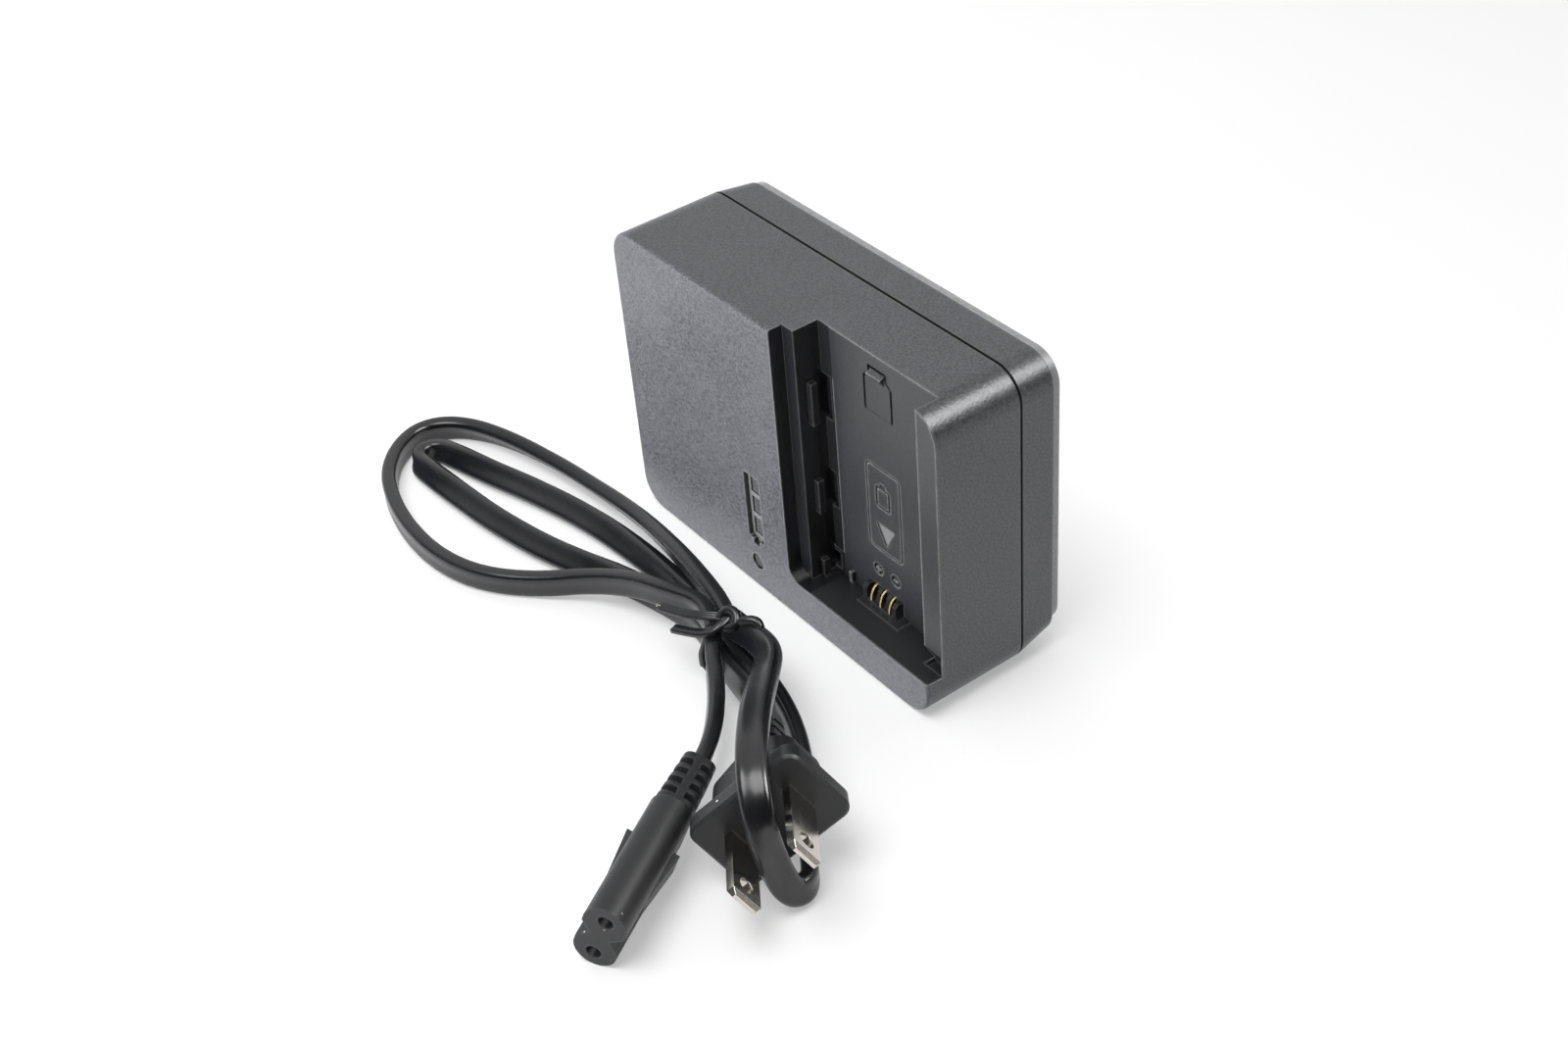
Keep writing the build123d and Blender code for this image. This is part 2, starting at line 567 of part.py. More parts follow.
# Mains inlet: a cup with two pins
with BuildPart() as inlet_socket:
    with BuildSketch(Plane.YZ.offset(LEFT)):
        with Locations((INLET_Y, INLET_Z)):
            SlotOverall(INLET_OUTER[0], INLET_OUTER[1], rotation=90)
    extrude(amount=INLET_DEPTH + INLET_BASE)
    with BuildSketch(Plane.YZ.offset(LEFT)):
        with Locations((INLET_Y, INLET_Z)):
            SlotOverall(INLET_OPEN[0], INLET_OPEN[1], rotation=90)
    extrude(amount=INLET_DEPTH, mode=Mode.SUBTRACT)
    with BuildSketch(Plane.YZ.offset(LEFT + WALL)):
        with Locations((INLET_Y, INLET_Z)):
            SlotOverall(INLET_OUTER[0] + 2 * INLET_FLANGE[0], INLET_OUTER[1] + 2 * INLET_FLANGE[0], rotation=90)
            SlotOverall(INLET_OUTER[0], INLET_OUTER[1], rotation=90, mode=Mode.SUBTRACT)
    extrude(amount=INLET_FLANGE[1])
    for side in (-1, 1):
        with Locations(Location((LEFT + INLET_DEPTH, INLET_Y, INLET_Z + side * PIN_PITCH / 2), (0, 90, 0))):
            Cylinder(PIN_NECK_R, 2 * INLET_BASE + 1, mode=Mode.SUBTRACT)
keep(inlet_socket, "inlet_socket")

# Pins: a round contact length in the cup, then a thinner neck through the base to the board
with BuildPart() as inlet_pins:
    base_x = LEFT + INLET_DEPTH
    tail_x = base_x + INLET_BASE + PIN_TAIL
    strap = PIN_STRAP / 2
    for side in (-1, 1):
        z = INLET_Z + side * PIN_PITCH / 2
        with Locations(Location((base_x - PIN_NECK - PIN_LENGTH / 2, INLET_Y, z), (0, 90, 0))):
            Cylinder(PIN_R, PIN_LENGTH)
        with Locations(Location(((base_x - PIN_NECK + tail_x) / 2, INLET_Y, z), (0, 90, 0))):
            Cylinder(PIN_NECK_R, tail_x - base_x + PIN_NECK)
        block(tail_x - 2 * strap, tail_x, INLET_Y, BOARD_FRONT_Y, z - strap, z + strap)
keep(inlet_pins, "inlet_pins")

# Contact holder and blades
with BuildPart() as contact_holder:
    front = FLOOR_Y - HOLDER_PROUD
    block(HOLDER[0], HOLDER[1], FLOOR_Y, FLOOR_BACK_Y, HOLDER[2], HOLDER[3])
    block(
        HOLDER[0] - HOLDER_LAP, HOLDER[1] + HOLDER_LAP, FLOOR_BACK_Y, FLOOR_BACK_Y + HOLDER_FLANGE,
        HOLDER[2] - HOLDER_LAP, HOLDER[3] + HOLDER_LAP,
    )
    for x0, x1 in ((HOLDER[0], HOLDER[0] + CHEEK), (HOLDER[1] - CHEEK, HOLDER[1])):
        with BuildSketch(Plane.YZ.offset(x0)):
            with BuildLine():
                Polyline(
                    (FLOOR_Y, HOLDER[2]), (front, HOLDER[2]), (front, HOLDER[3] - CHEEK_CUT),
                    (front + CHEEK_CUT, HOLDER[3]), (FLOOR_Y, HOLDER[3]), close=True,
                )
            make_face()
        extrude(amount=x1 - x0)
    for x in ((BLADE_X[0] + BLADE_X[1]) / 2, (BLADE_X[1] + BLADE_X[2]) / 2):
        with BuildSketch(Plane.YZ.offset(x - COMB_T / 2)):
            with BuildLine():
                Polyline(
                    (FLOOR_Y, HOLDER[2]),
                    (front + COMB_BACK[0], HOLDER[2]),
                    (front + COMB_BACK[1], BLADE_Z[0] + COMB_RISE),
                    (front + COMB_BACK[2], HOLDER[3] - COMB_DROP[0]),
                    (FLOOR_Y, HOLDER[3] - COMB_DROP[1]),
                    close=True,
                )
            make_face()
        extrude(amount=COMB_T)
    block(HOLDER[0], HOLDER[1], front, FLOOR_Y, HOLDER[2], BLADE_Z[0])
    for x in BLADE_X:
        block(
            x - BLADE_T / 2, x + BLADE_T / 2, FLOOR_Y - 0.1, FLOOR_BACK_Y + HOLDER_FLANGE + 0.1,
            BLADE_Z[0], HOLDER[3] + 0.1, Mode.SUBTRACT,
        )
keep(contact_holder, "contact_holder")

with BuildPart() as contact_blades:
    for x in BLADE_X:
        with BuildSketch(Plane.YZ.offset(x - BLADE_T / 2)):
            with BuildLine():
                EllipticalCenterArc(
                    (FLOOR_Y, BLADE_Z[0]), HOLDER_PROUD - BLADE_BACK, BLADE_Z[1] - BLADE_Z[0],
                    start_angle=90, arc_size=90,
                )
                Polyline(
                    (FLOOR_Y - HOLDER_PROUD + BLADE_BACK, BLADE_Z[0]), (FLOOR_BACK_Y + BLADE_ROOT, BLADE_Z[0]),
                    (FLOOR_BACK_Y + BLADE_ROOT, BLADE_Z[1]), (FLOOR_Y, BLADE_Z[1]),
                )
            make_face()
        extrude(amount=BLADE_T)
        block(x - BLADE_T / 2, x + BLADE_T / 2, FLOOR_BACK_Y, BOARD_FRONT_Y, TAIL_Z[0], TAIL_Z[1])
keep(contact_blades, "contact_blades")

# Light guide, lamp lens, lamp board, lamps and header
with BuildPart() as light_guide:
    inner = FRONT_Y + WALL
    block(
        gauge_x - GUIDE_HALF, gauge_x + GUIDE_HALF, inner, inner + GUIDE_T,
        CELL_Z[0] - GUIDE_HALF, CELL_Z[-1] + GUIDE_HALF,
    )
    for z in CELL_Z:
        block(
            gauge_x - CELL[0] / 2, gauge_x + CELL[0] / 2, FRONT_Y + GAUGE_DEPTH + CELL_SUNK, inner,
            z - CELL[1] / 2, z + CELL[1] / 2,
        )
keep(light_guide, "light_guide")

with BuildPart() as lamp_lens:
    drum(LAMP_X, LAMP_Z, LAMP_R, FRONT_Y + LAMP_SUNK, FRONT_Y + WALL)
    drum(LAMP_X, LAMP_Z, LAMP_R + LENS_FLANGE[0], FRONT_Y + WALL, FRONT_Y + WALL + LENS_FLANGE[1])
keep(lamp_lens, "lamp_lens")

with BuildPart() as lamp_board:
    block(
        LAMP_BOARD[0], LAMP_BOARD[1], LAMP_BOARD_Y, LAMP_BOARD_Y + LAMP_BOARD_T, LAMP_BOARD[2], LAMP_BOARD[3]
    )
keep(lamp_board, "lamp_board")

with BuildPart() as indicator_leds:
    for x, z in [(gauge_x, z) for z in CELL_Z] + [(LAMP_X, LAMP_Z)]:
        block(x - LED[0] / 2, x + LED[0] / 2, LAMP_BOARD_Y - LED[1], LAMP_BOARD_Y, z - LED[2] / 2, z + LED[2] / 2)
keep(indicator_leds, "indicator_leds")

with BuildPart() as lamp_header:
    half = HEADER_W / 2
    for z in HEADER_Z:
        block(
            HEADER_X - half, HEADER_X + half, LAMP_BOARD_Y + LAMP_BOARD_T, BOARD_FRONT_Y, z - half, z + half
        )
keep(lamp_header, "lamp_header")

# Main circuit board, notched round the screw posts
with BuildPart() as circuit_board:
    block(
        BOARD_LEFT, BOARD_RIGHT, BOARD_FRONT_Y, BOARD_FRONT_Y + BOARD_T, BOARD_BOTTOM, BOARD_TOP
    )
    for x, z in SCREW_XZ:
        block(
            x - BOARD_NOTCH / 2, x + BOARD_NOTCH / 2, BOARD_FRONT_Y - 1, BOARD_FRONT_Y + BOARD_T + 1,
            z - BOARD_NOTCH / 2, z + BOARD_NOTCH / 2, Mode.SUBTRACT,
        )
keep(circuit_board, "circuit_board")

# Parts on the board
with BuildPart() as transformer_core:
    block(*CORE_X, *CORE_Y, *CORE_Z)
    block(
        CORE_X[0] + CORE_LIMB, CORE_X[1] - CORE_LIMB, CORE_Y[0] - 1, CORE_Y[1] + 1,
        CORE_Z[0] + CORE_LIMB, CORE_Z[1] - CORE_LIMB, Mode.SUBTRACT,
    )
keep(transformer_core, "transformer_core")

with BuildPart() as transformer_coil:
    block(
        CORE_X[0] + CORE_LIMB, CORE_X[1] - CORE_LIMB, COIL_FRONT_Y, BOARD_FRONT_Y,
        CORE_Z[0] + CORE_LIMB, CORE_Z[1] - CORE_LIMB,
    )
    fillet(transformer_coil.edges().filter_by(Axis.Y), COIL_R)
keep(transformer_coil, "transformer_coil")

with BuildPart() as bulk_capacitor:
    drum(*BULK_AT, BULK_R, BULK_FRONT_Y, BOARD_FRONT_Y)
    fillet(bulk_capacitor.edges().group_by(Axis.Y)[0], CAN_EDGE_R)
keep(bulk_capacitor, "bulk_capacitor")

with BuildPart() as film_capacitor:
    block(FILM_BOX[0], FILM_BOX[1], FILM_FRONT_Y, BOARD_FRONT_Y, FILM_BOX[2], FILM_BOX[3])
keep(film_capacitor, "film_capacitor")

with BuildPart() as line_filter:
    drum(*FILTER_AT, FILTER_R[0], FILTER_FRONT_Y, BOARD_FRONT_Y)
    drum(*FILTER_AT, FILTER_R[1], FILTER_FRONT_Y - 1, BOARD_FRONT_Y + 1, Mode.SUBTRACT)
keep(line_filter, "line_filter")

with BuildPart() as fuse:
    with Locations(Location(((FUSE_X[0] + FUSE_X[1]) / 2, BOARD_FRONT_Y - FUSE_R, FUSE_Z), (0, 90, 0))):
        Cylinder(FUSE_R, FUSE_X[1] - FUSE_X[0])
keep(fuse, "fuse")

with BuildPart() as bridge_rectifier:
    block(BRIDGE_BOX[0], BRIDGE_BOX[1], BRIDGE_FRONT_Y, BOARD_FRONT_Y, BRIDGE_BOX[2], BRIDGE_BOX[3])
keep(bridge_rectifier, "bridge_rectifier")

with BuildPart() as heat_sink:
    block(SINK_BOX[0], SINK_BOX[1], SINK_FRONT_Y, BOARD_FRONT_Y, SINK_BOX[2], SINK_BOX[3])
keep(heat_sink, "heat_sink")

with BuildPart() as switching_transistor:
    chip_left = SINK_BOX[1]
    leg = CHIP_LEG_W / 2
    leg_x = chip_left + CHIP_T / 2
    block(chip_left, chip_left + CHIP_T, *CHIP_Y, *CHIP_Z)
    for z in CHIP_LEGS_Z:
        block(leg_x - leg, leg_x + leg, CHIP_Y[1], BOARD_FRONT_Y, z - leg, z + leg)
keep(switching_transistor, "switching_transistor")

with BuildPart() as output_capacitor:
    drum(*OUTPUT_AT, OUTPUT_R, OUTPUT_FRONT_Y, BOARD_FRONT_Y)
    fillet(output_capacitor.edges().group_by(Axis.Y)[0], CAN_EDGE_R)
keep(output_capacitor, "output_capacitor")

with BuildPart() as rectifier_diode:
    with Locations(Location(((DIODE_X[0] + DIODE_X[1]) / 2, BOARD_FRONT_Y - DIODE_R, DIODE_Z), (0, 90, 0))):
        Cylinder(DIODE_R, DIODE_X[1] - DIODE_X[0])
keep(rectifier_diode, "rectifier_diode")

with BuildPart() as charge_controller:
    block(
        CONTROLLER_BOX[0], CONTROLLER_BOX[1], BOARD_FRONT_Y - CONTROLLER_T, BOARD_FRONT_Y,
        CONTROLLER_BOX[2], CONTROLLER_BOX[3],
    )
keep(charge_controller, "charge_controller")


# Cord: straight runs joined by tangent arcs
def bend_radii(points):
    """The largest radius that each corner's shorter run leaves room for."""
    radii = []
    for before, corner, after in zip(points, points[1:], points[2:]):
        first = Vector(*corner) - Vector(*before)
        second = Vector(*after) - Vector(*corner)
        turn = math.radians(first.get_angle(second))
        radii.append(BEND_SHARE * min(first.length, second.length) / math.tan(turn / 2))
    return radii


nose_plane = Plane(origin=NOSE_AT, x_dir=NOSE_UP, z_dir=NOSE_AXIS)
plug_plane = Plane(origin=PLUG_AT, x_dir=PLUG_ACROSS, z_dir=PLUG_AXIS)
nose_tail = -NOSE_LENGTH - STRAIN_LENGTH
plug_tail = -FLANGE_T - GRIP_LENGTH - PLUG_STRAIN
cord_points = [
    tuple(nose_plane.from_local_coords((0, 0, nose_tail))),
    tuple(nose_plane.from_local_coords((0, 0, nose_tail - CORD_END_RUN))),
    *CORD_POINTS,
    tuple(plug_plane.from_local_coords((0, 0, plug_tail - CORD_END_RUN))),
    tuple(plug_plane.from_local_coords((0, 0, plug_tail))),
]

with BuildPart() as lead_cord:
    radii = bend_radii(cord_points)
    print("cord ends", [tuple(round(v, 3) for v in p) for p in cord_points[:2] + cord_points[-2:]])
    print("cord radii, smallest first", [round(r, 1) for r in sorted(radii)][:12])
    with BuildLine() as cord_line:
        FilletPolyline(*cord_points, radius=radii)
    cord_path = cord_line.wire()
    with BuildSketch(Plane(origin=cord_path @ 0, z_dir=cord_path % 0)):
        Circle(CORD_R)
    sweep(path=cord_path)
    print("cord length", round(cord_path.length, 1), "mm,", "section times length",
          round(math.pi * CORD_R**2 * cord_path.length, 1), "mm3")
keep(lead_cord, "lead_cord")

with BuildSketch(Plane(origin=TIE_AT, x_dir=TIE_ACROSS, z_dir=TIE_ALONG)) as tie_outline:
    RectangleRounded(2 * TIE_HALF[0], 2 * TIE_HALF[1], TIE_CORNER_R)
ring_path = tie_outline.sketch.faces()[0].outer_wire()
with BuildPart() as cord_tie:
    with BuildSketch(Plane(origin=ring_path @ 0, z_dir=ring_path % 0)):
        Circle(TIE_R)
    sweep(path=ring_path)
    with Locations(TIE_KNOT):
        Sphere(TIE_KNOT_R)
    for tail in TIE_TAILS:
        with BuildLine() as tail_line:
            FilletPolyline(*tail, radius=TIE_TAIL_BEND)
        tail_path = tail_line.wire()
        with BuildSketch(Plane(origin=tail_path @ 0, z_dir=tail_path % 0)):
            Circle(TIE_R)
        sweep(path=tail_path)
keep(cord_tie, "cord_tie")

# Connector: a stadium nose, waisted between its sockets, with a finger wing on each flat side
with BuildPart() as connector_body:
    with BuildSketch(nose_plane):
        SlotOverall(*NOSE)
    extrude(amount=-NOSE_LENGTH)
    with BuildSketch(nose_plane.offset(-NOSE_LENGTH)):
        RectangleRounded(*STRAIN_ROOT)
    with BuildSketch(nose_plane.offset(nose_tail)):
        RectangleRounded(*STRAIN_END)
    loft()
    for step in range(STRAIN_SLOTS):
        far = nose_tail + STRAIN_FIRST + step * STRAIN_PITCH
        for side in (-1, 1):
            with BuildSketch(nose_plane.offset(far)):
                with Locations((0, side * (STRAIN_SLOT[1] + STRAIN_ROOT[1] / 2))):
                    Rectangle(STRAIN_ROOT[0] + 1, STRAIN_ROOT[1])
            extrude(amount=STRAIN_SLOT[0], mode=Mode.SUBTRACT)
    for side in (-1, 1):
        with BuildSketch(nose_plane.offset(-WAIST_LENGTH)):
            with BuildLine():
                Polyline(
                    (-WAIST[0] / 2, side * NOSE[1] / 2),
                    (0, side * (NOSE[1] / 2 - WAIST[1])),
                    (WAIST[0] / 2, side * NOSE[1] / 2),
                    (0, side * (NOSE[1] / 2 + WAIST[1])),
                    close=True,
                )
            make_face()
        extrude(amount=WAIST_LENGTH + 1, mode=Mode.SUBTRACT)
        with BuildSketch(nose_plane.offset(-WING_FROM)):
            with Locations((0, side * (NOSE[1] + WING_PROUD) / 2)):
                Rectangle(WING_WIDTH, WING_PROUD)
        with BuildSketch(nose_plane.offset(WING_LENGTH - WING_FROM)):
            with Locations((0, side * (NOSE[1] / 2 - WING_PROUD / 4))):
                Rectangle(WING_WIDTH, WING_PROUD / 2)
        loft()
        with BuildSketch(nose_plane):
            with Locations((side * PIN_PITCH / 2, 0)):
                Circle(NOSE_HOLE_R)
        extrude(amount=-NOSE_HOLE_DEPTH, mode=Mode.SUBTRACT)
        with BuildSketch(nose_plane.offset(-SLEEVE_FROM)):
            with Locations((side * PIN_PITCH / 2, 0)):
                Circle(SLEEVE_R)
        extrude(amount=SLEEVE_FROM - NOSE_HOLE_DEPTH, mode=Mode.SUBTRACT)
keep(connector_body, "connector_body")

with BuildPart() as connector_sleeves:
    for side in (-1, 1):
        with BuildSketch(nose_plane.offset(-SLEEVE_FROM)):
            with Locations((side * PIN_PITCH / 2, 0)):
                Circle(SLEEVE_R)
                Circle(SLEEVE_BORE_R, mode=Mode.SUBTRACT)
        extrude(amount=SLEEVE_FROM - NOSE_HOLE_DEPTH)
keep(connector_sleeves, "connector_sleeves")

# Plug: a flange with a bevelled front edge, a waisted grip and a slotted strain relief
with BuildPart() as plug_body:
    with BuildSketch(plug_plane.offset(-FLANGE_T)):
        RectangleRounded(*FLANGE)
    extrude(amount=FLANGE_T)
    chamfer(plug_body.edges().group_by(Axis(PLUG_AT, PLUG_AXIS))[-1], FLANGE_EDGE)
    for section, behind in zip(GRIP_SECTIONS, GRIP_AT):
        with BuildSketch(plug_plane.offset(-FLANGE_T - behind)):
            RectangleRounded(*section)
    loft(ruled=True)
    with BuildSketch(plug_plane.offset(-FLANGE_T - GRIP_LENGTH)):
        RectangleRounded(*PLUG_STRAIN_ROOT)
    with BuildSketch(plug_plane.offset(plug_tail)):
        RectangleRounded(*PLUG_STRAIN_END)
    loft()
    for step in range(PLUG_SLOTS):
        far = -FLANGE_T - GRIP_LENGTH - PLUG_SLOT_FIRST - PLUG_SLOT[0] - step * PLUG_SLOT_PITCH
        for side in (-1, 1):
            with BuildSketch(plug_plane.offset(far)):
                with Locations((side * (PLUG_SLOT[1] + PLUG_STRAIN_ROOT[0] / 2), 0)):
                    Rectangle(PLUG_STRAIN_ROOT[0], PLUG_STRAIN_ROOT[1] + 1)
            extrude(amount=PLUG_SLOT[0], mode=Mode.SUBTRACT)
    for side in (-1, 1):
        with BuildSketch(plug_plane.offset(-PRONG_ROOT)):
            with Locations((side * PRONG_PITCH / 2, 0)):
                Rectangle(PRONG[0], PRONG[1])
        extrude(amount=PRONG_ROOT + 1, mode=Mode.SUBTRACT)
keep(plug_body, "plug_body")

with BuildPart() as plug_blades:
    for side in (-1, 1):
        with BuildSketch(plug_plane.offset(-PRONG_ROOT)):
            with Locations((side * PRONG_PITCH / 2, 0)):
                Rectangle(PRONG[0], PRONG[1])
        extrude(amount=PRONG_ROOT + PRONG[2] - PRONG_TIP[0])
        for inset, height in ((0, PRONG[2] - PRONG_TIP[0]), (PRONG_TIP[1], PRONG[2])):
            with BuildSketch(plug_plane.offset(height)):
                with Locations((side * PRONG_PITCH / 2, 0)):
                    Rectangle(PRONG[0] - 2 * inset, PRONG[1] - 4 * inset)
        loft()
        hole_plane = Plane(
            origin=plug_plane.from_local_coords((side * PRONG_PITCH / 2 - 2, 0, PRONG_HOLE_AT)),
            z_dir=PLUG_ACROSS,
        )
        with BuildSketch(hole_plane):
            Circle(PRONG_HOLE_R)
        extrude(amount=4, mode=Mode.SUBTRACT)
keep(plug_blades, "plug_blades")
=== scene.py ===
# %% [markdown]
# # A camera battery charger and its mains lead
# The charger stands on a long side with its battery bay towards us, and its lead lies tied up in front of
# it. The solids come from the imported model, so this lesson only finishes them: it sets the camera and the
# light, lays the cord in its loops, and gives every surface the detail that a moulding, a plating or
# a jacket has.

# %% Load the imported model
import math

import bpy
import numpy as np
from mathutils import Matrix, Vector


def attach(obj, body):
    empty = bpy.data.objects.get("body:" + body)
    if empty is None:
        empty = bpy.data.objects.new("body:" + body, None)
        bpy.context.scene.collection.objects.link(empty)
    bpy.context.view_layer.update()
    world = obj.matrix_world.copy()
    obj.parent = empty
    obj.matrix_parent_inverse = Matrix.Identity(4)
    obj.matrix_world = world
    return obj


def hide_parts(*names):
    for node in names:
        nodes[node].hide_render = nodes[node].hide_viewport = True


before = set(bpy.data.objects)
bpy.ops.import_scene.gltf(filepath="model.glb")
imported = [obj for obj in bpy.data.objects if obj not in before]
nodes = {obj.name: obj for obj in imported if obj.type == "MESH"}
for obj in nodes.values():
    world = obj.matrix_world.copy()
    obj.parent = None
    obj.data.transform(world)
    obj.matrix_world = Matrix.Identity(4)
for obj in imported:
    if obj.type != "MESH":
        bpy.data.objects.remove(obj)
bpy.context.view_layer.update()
MM = 0.001
print("pieces in the model:", len(nodes))

# %% [markdown]
# ## The camera
# A camera is an object whose local X looks right, Y up and -Z forward. The photograph's view was solved
# from the housing's straight edges, which gives a position and three directions, so they are written here
# as they are.

# %% Camera
CAMERA_AT = Vector((259.505, -186.056, 261.71)) * MM
CAMERA_RIGHT = Vector((0.60041, 0.79645, -0.07194))
CAMERA_DOWN = Vector((0.45922, -0.41704, -0.78434))
CAMERA_FORWARD = Vector((-0.65469, 0.43789, -0.61614))
LENS_MM = 48.49
SENSOR_MM = 36.0
NEAREST = 0.01


def make_camera():
    """The photograph's viewpoint."""
    data = bpy.data.cameras.new("camera")
    data.lens = LENS_MM
    data.sensor_width = SENSOR_MM
    data.clip_start = NEAREST
    camera = bpy.data.objects.new("camera", data)
    turn = Matrix((CAMERA_RIGHT, -CAMERA_DOWN, -CAMERA_FORWARD)).transposed().to_4x4()
    camera.matrix_world = Matrix.Translation(CAMERA_AT) @ turn
    bpy.context.scene.collection.objects.link(camera)
    bpy.context.scene.camera = camera


make_camera()
print("camera is", round(CAMERA_AT.length, 3), "m from the charger")

# %% [markdown]
# ## The cord
# The lead is a flat twin cord: two cores side by side in one jacket, with a groove between them. It lies in
# two loops, an outer and an inner one, gathered by a wire tie, and one stretch hangs over the plug. A curve
# with a bevel could draw it, but a flat cord also rolls as it runs, standing on edge round a bend and lying
# flat on top of things. So the route is a smooth spline, its points are read back, and a flat profile is
# swept along them with its own roll at each place. Each row is a point of the route in millimetres and the
# roll there in degrees: 0 lies flat, 90 stands on edge.

# %% Cord route
CORD_WIDTH = 5.4
CORD_THICK = 3.0
CORD_CORNER_R = 1.05
CORD_GROOVE = 0.12
CORD_STEPS = 8
NEARLY_UPRIGHT = 0.12
ROUTE = [
    (33.783, -57.891, 7.05, 112), (30.115, -51.929, 7.05, 110), (20.5, -43.8, 6.9, 100),
    (13.5, -39.6, 8.3, 92), (7.3, -34.8, 8.3, 90), (-0.3, -32.3, 8.3, 90), (-7.5, -35.6, 8.3, 90),
    (-15.5, -37.6, 7.0, 88), (-24.5, -42.0, 4.6, 85), (-32.5, -49.6, 2.8, 85), (-41.0, -56.6, 2.75, 85),
    (-51.0, -60.0, 2.75, 88), (-62.5, -60.4, 2.75, 90), (-74.0, -58.4, 2.75, 90), (-83.5, -54.8, 2.75, 90),
    (-90.5, -48.6, 2.75, 92), (-93.6, -41.3, 2.75, 95), (-90.4, -34.4, 2.75, 105),
    (-81.0, -28.9, 2.65, 120), (-66.0, -25.2, 2.5, 128), (-50.0, -23.2, 2.6, 125), (-34.0, -23.2, 4.2, 115),
    (-14.0, -26.6, 7.9, 100), (0.7, -29.2, 8.3, 90), (8.3, -31.7, 8.3, 90), (15.5, -31.6, 10.4, 75),
    (24.4, -34.2, 13.8, 45), (33.5, -42.0, 19.0, 20), (43.5, -50.95, 23.3, 5), (53.85, -59.1, 25.0, 0),
    (60.45, -62.9, 19.6, 10), (62.1, -62.15, 10.3, 45), (63.8, -60.4, 3.6, 75), (63.8, -56.2, 2.8, 90),
    (58.4, -52.8, 2.8, 90), (50.0, -46.4, 2.8, 90), (40.0, -39.4, 2.8, 90), (30.0, -34.8, 2.8, 90),
    (19.0, -32.2, 2.8, 90), (8.3, -31.7, 2.85, 90), (0.7, -29.2, 2.85, 92), (-12.0, -28.8, 2.8, 105),
    (-28.4, -29.0, 2.6, 125), (-43.0, -30.2, 2.4, 142), (-58.0, -33.4, 2.3, 145), (-70.5, -37.2, 2.4, 138),
    (-79.5, -39.7, 2.6, 118), (-86.0, -41.8, 2.75, 95), (-85.6, -47.4, 2.75, 80), (-78.0, -47.0, 2.6, 60),
    (-68.5, -46.1, 2.3, 42), (-57.0, -45.0, 2.2, 36), (-42.5, -42.4, 2.2, 36), (-31.0, -39.0, 2.3, 45),
    (-21.0, -35.6, 2.6, 70), (-11.5, -33.6, 2.8, 85), (-0.3, -32.3, 2.85, 90), (7.3, -34.8, 2.85, 90),
    (15.4, -36.4, 4.0, 70), (25.925, -38.306, 5.786, 40), (31.67, -42.076, 7.124, 37),
]


def spline_points(name, points, steps):
    """The points of a smooth line with the given control points, read back from a curve without thickness."""
    curve = bpy.data.curves.new(name, "CURVE")
    curve.dimensions = "3D"
    curve.resolution_u = steps
    spline = curve.splines.new("NURBS")
    spline.points.add(len(points) - 1)
    for point, place in zip(spline.points, points):
        point.co = (*place, 1)
    spline.order_u = 3
    spline.use_endpoint_u = True
    holder = bpy.data.objects.new(name, curve)
    bpy.context.scene.collection.objects.link(holder)
    bpy.context.view_layer.update()
    depsgraph = bpy.context.evaluated_depsgraph_get()
    mesh = bpy.data.meshes.new_from_object(holder.evaluated_get(depsgraph))
    line = np.array([vertex.co for vertex in mesh.vertices])
    bpy.data.meshes.remove(mesh)
    bpy.data.objects.remove(holder)
    bpy.data.curves.remove(curve)
    return line


def rolls_along(rolls, count):
    """One roll in radians for each of the line's points: a control point holds sway half a span before it."""
    spans = len(rolls) - 2
    sway = np.clip(np.arange(len(rolls)) - 0.5, 0, spans)
    return np.radians(np.interp(np.linspace(0, spans, count), sway, rolls))


def frames_along(line):
    """A sideways and an upward direction at each point of the line, without sudden flips."""
    travel = np.gradient(line, axis=0)
    travel /= np.linalg.norm(travel, axis=1)[:, None]
    sides = []
    for direction in travel:
        side = np.cross((0.0, 0.0, 1.0), direction)
        if np.linalg.norm(side) < NEARLY_UPRIGHT and sides:
            side = sides[-1] - direction * np.dot(sides[-1], direction)
        side /= np.linalg.norm(side)
        if sides and np.dot(side, sides[-1]) < 0:
            side = -side
        sides.append(side)
    sides = np.array(sides)
    return sides, np.cross(travel, sides)


cord_line = spline_points("route", [Vector(row[:3]) * MM for row in ROUTE], CORD_STEPS)

# %% [markdown]
# The profile is a rounded oblong with a shallow groove between its two cores on both faces. Sweeping it is
# a matter of placing one ring of points at every point of the line, turned by its roll, and joining each
# ring to the next.

# %% Cord mesh


def twin_profile(width, thick, corner, groove, turns=4):
    """The outline of a flat twin cord, anticlockwise: a rounded oblong with a groove along both faces."""
    reach = width / 2 - corner
    rise = thick / 2 - corner
    angles = np.linspace(0, math.pi / 2, turns + 1)
    lower = [(reach + corner * math.sin(a), -rise - corner * math.cos(a)) for a in angles]
    upper = [(reach + corner * math.cos(a), rise + corner * math.sin(a)) for a in angles]
    across = np.linspace(reach, -reach, 2 * turns + 1)[1:-1]
    face = [(x, thick / 2 - groove * (1 + math.cos(math.pi * x / reach)) / 2) for x in across]
    half = lower + upper + face
    return half + [(-x, -y) for x, y in half]


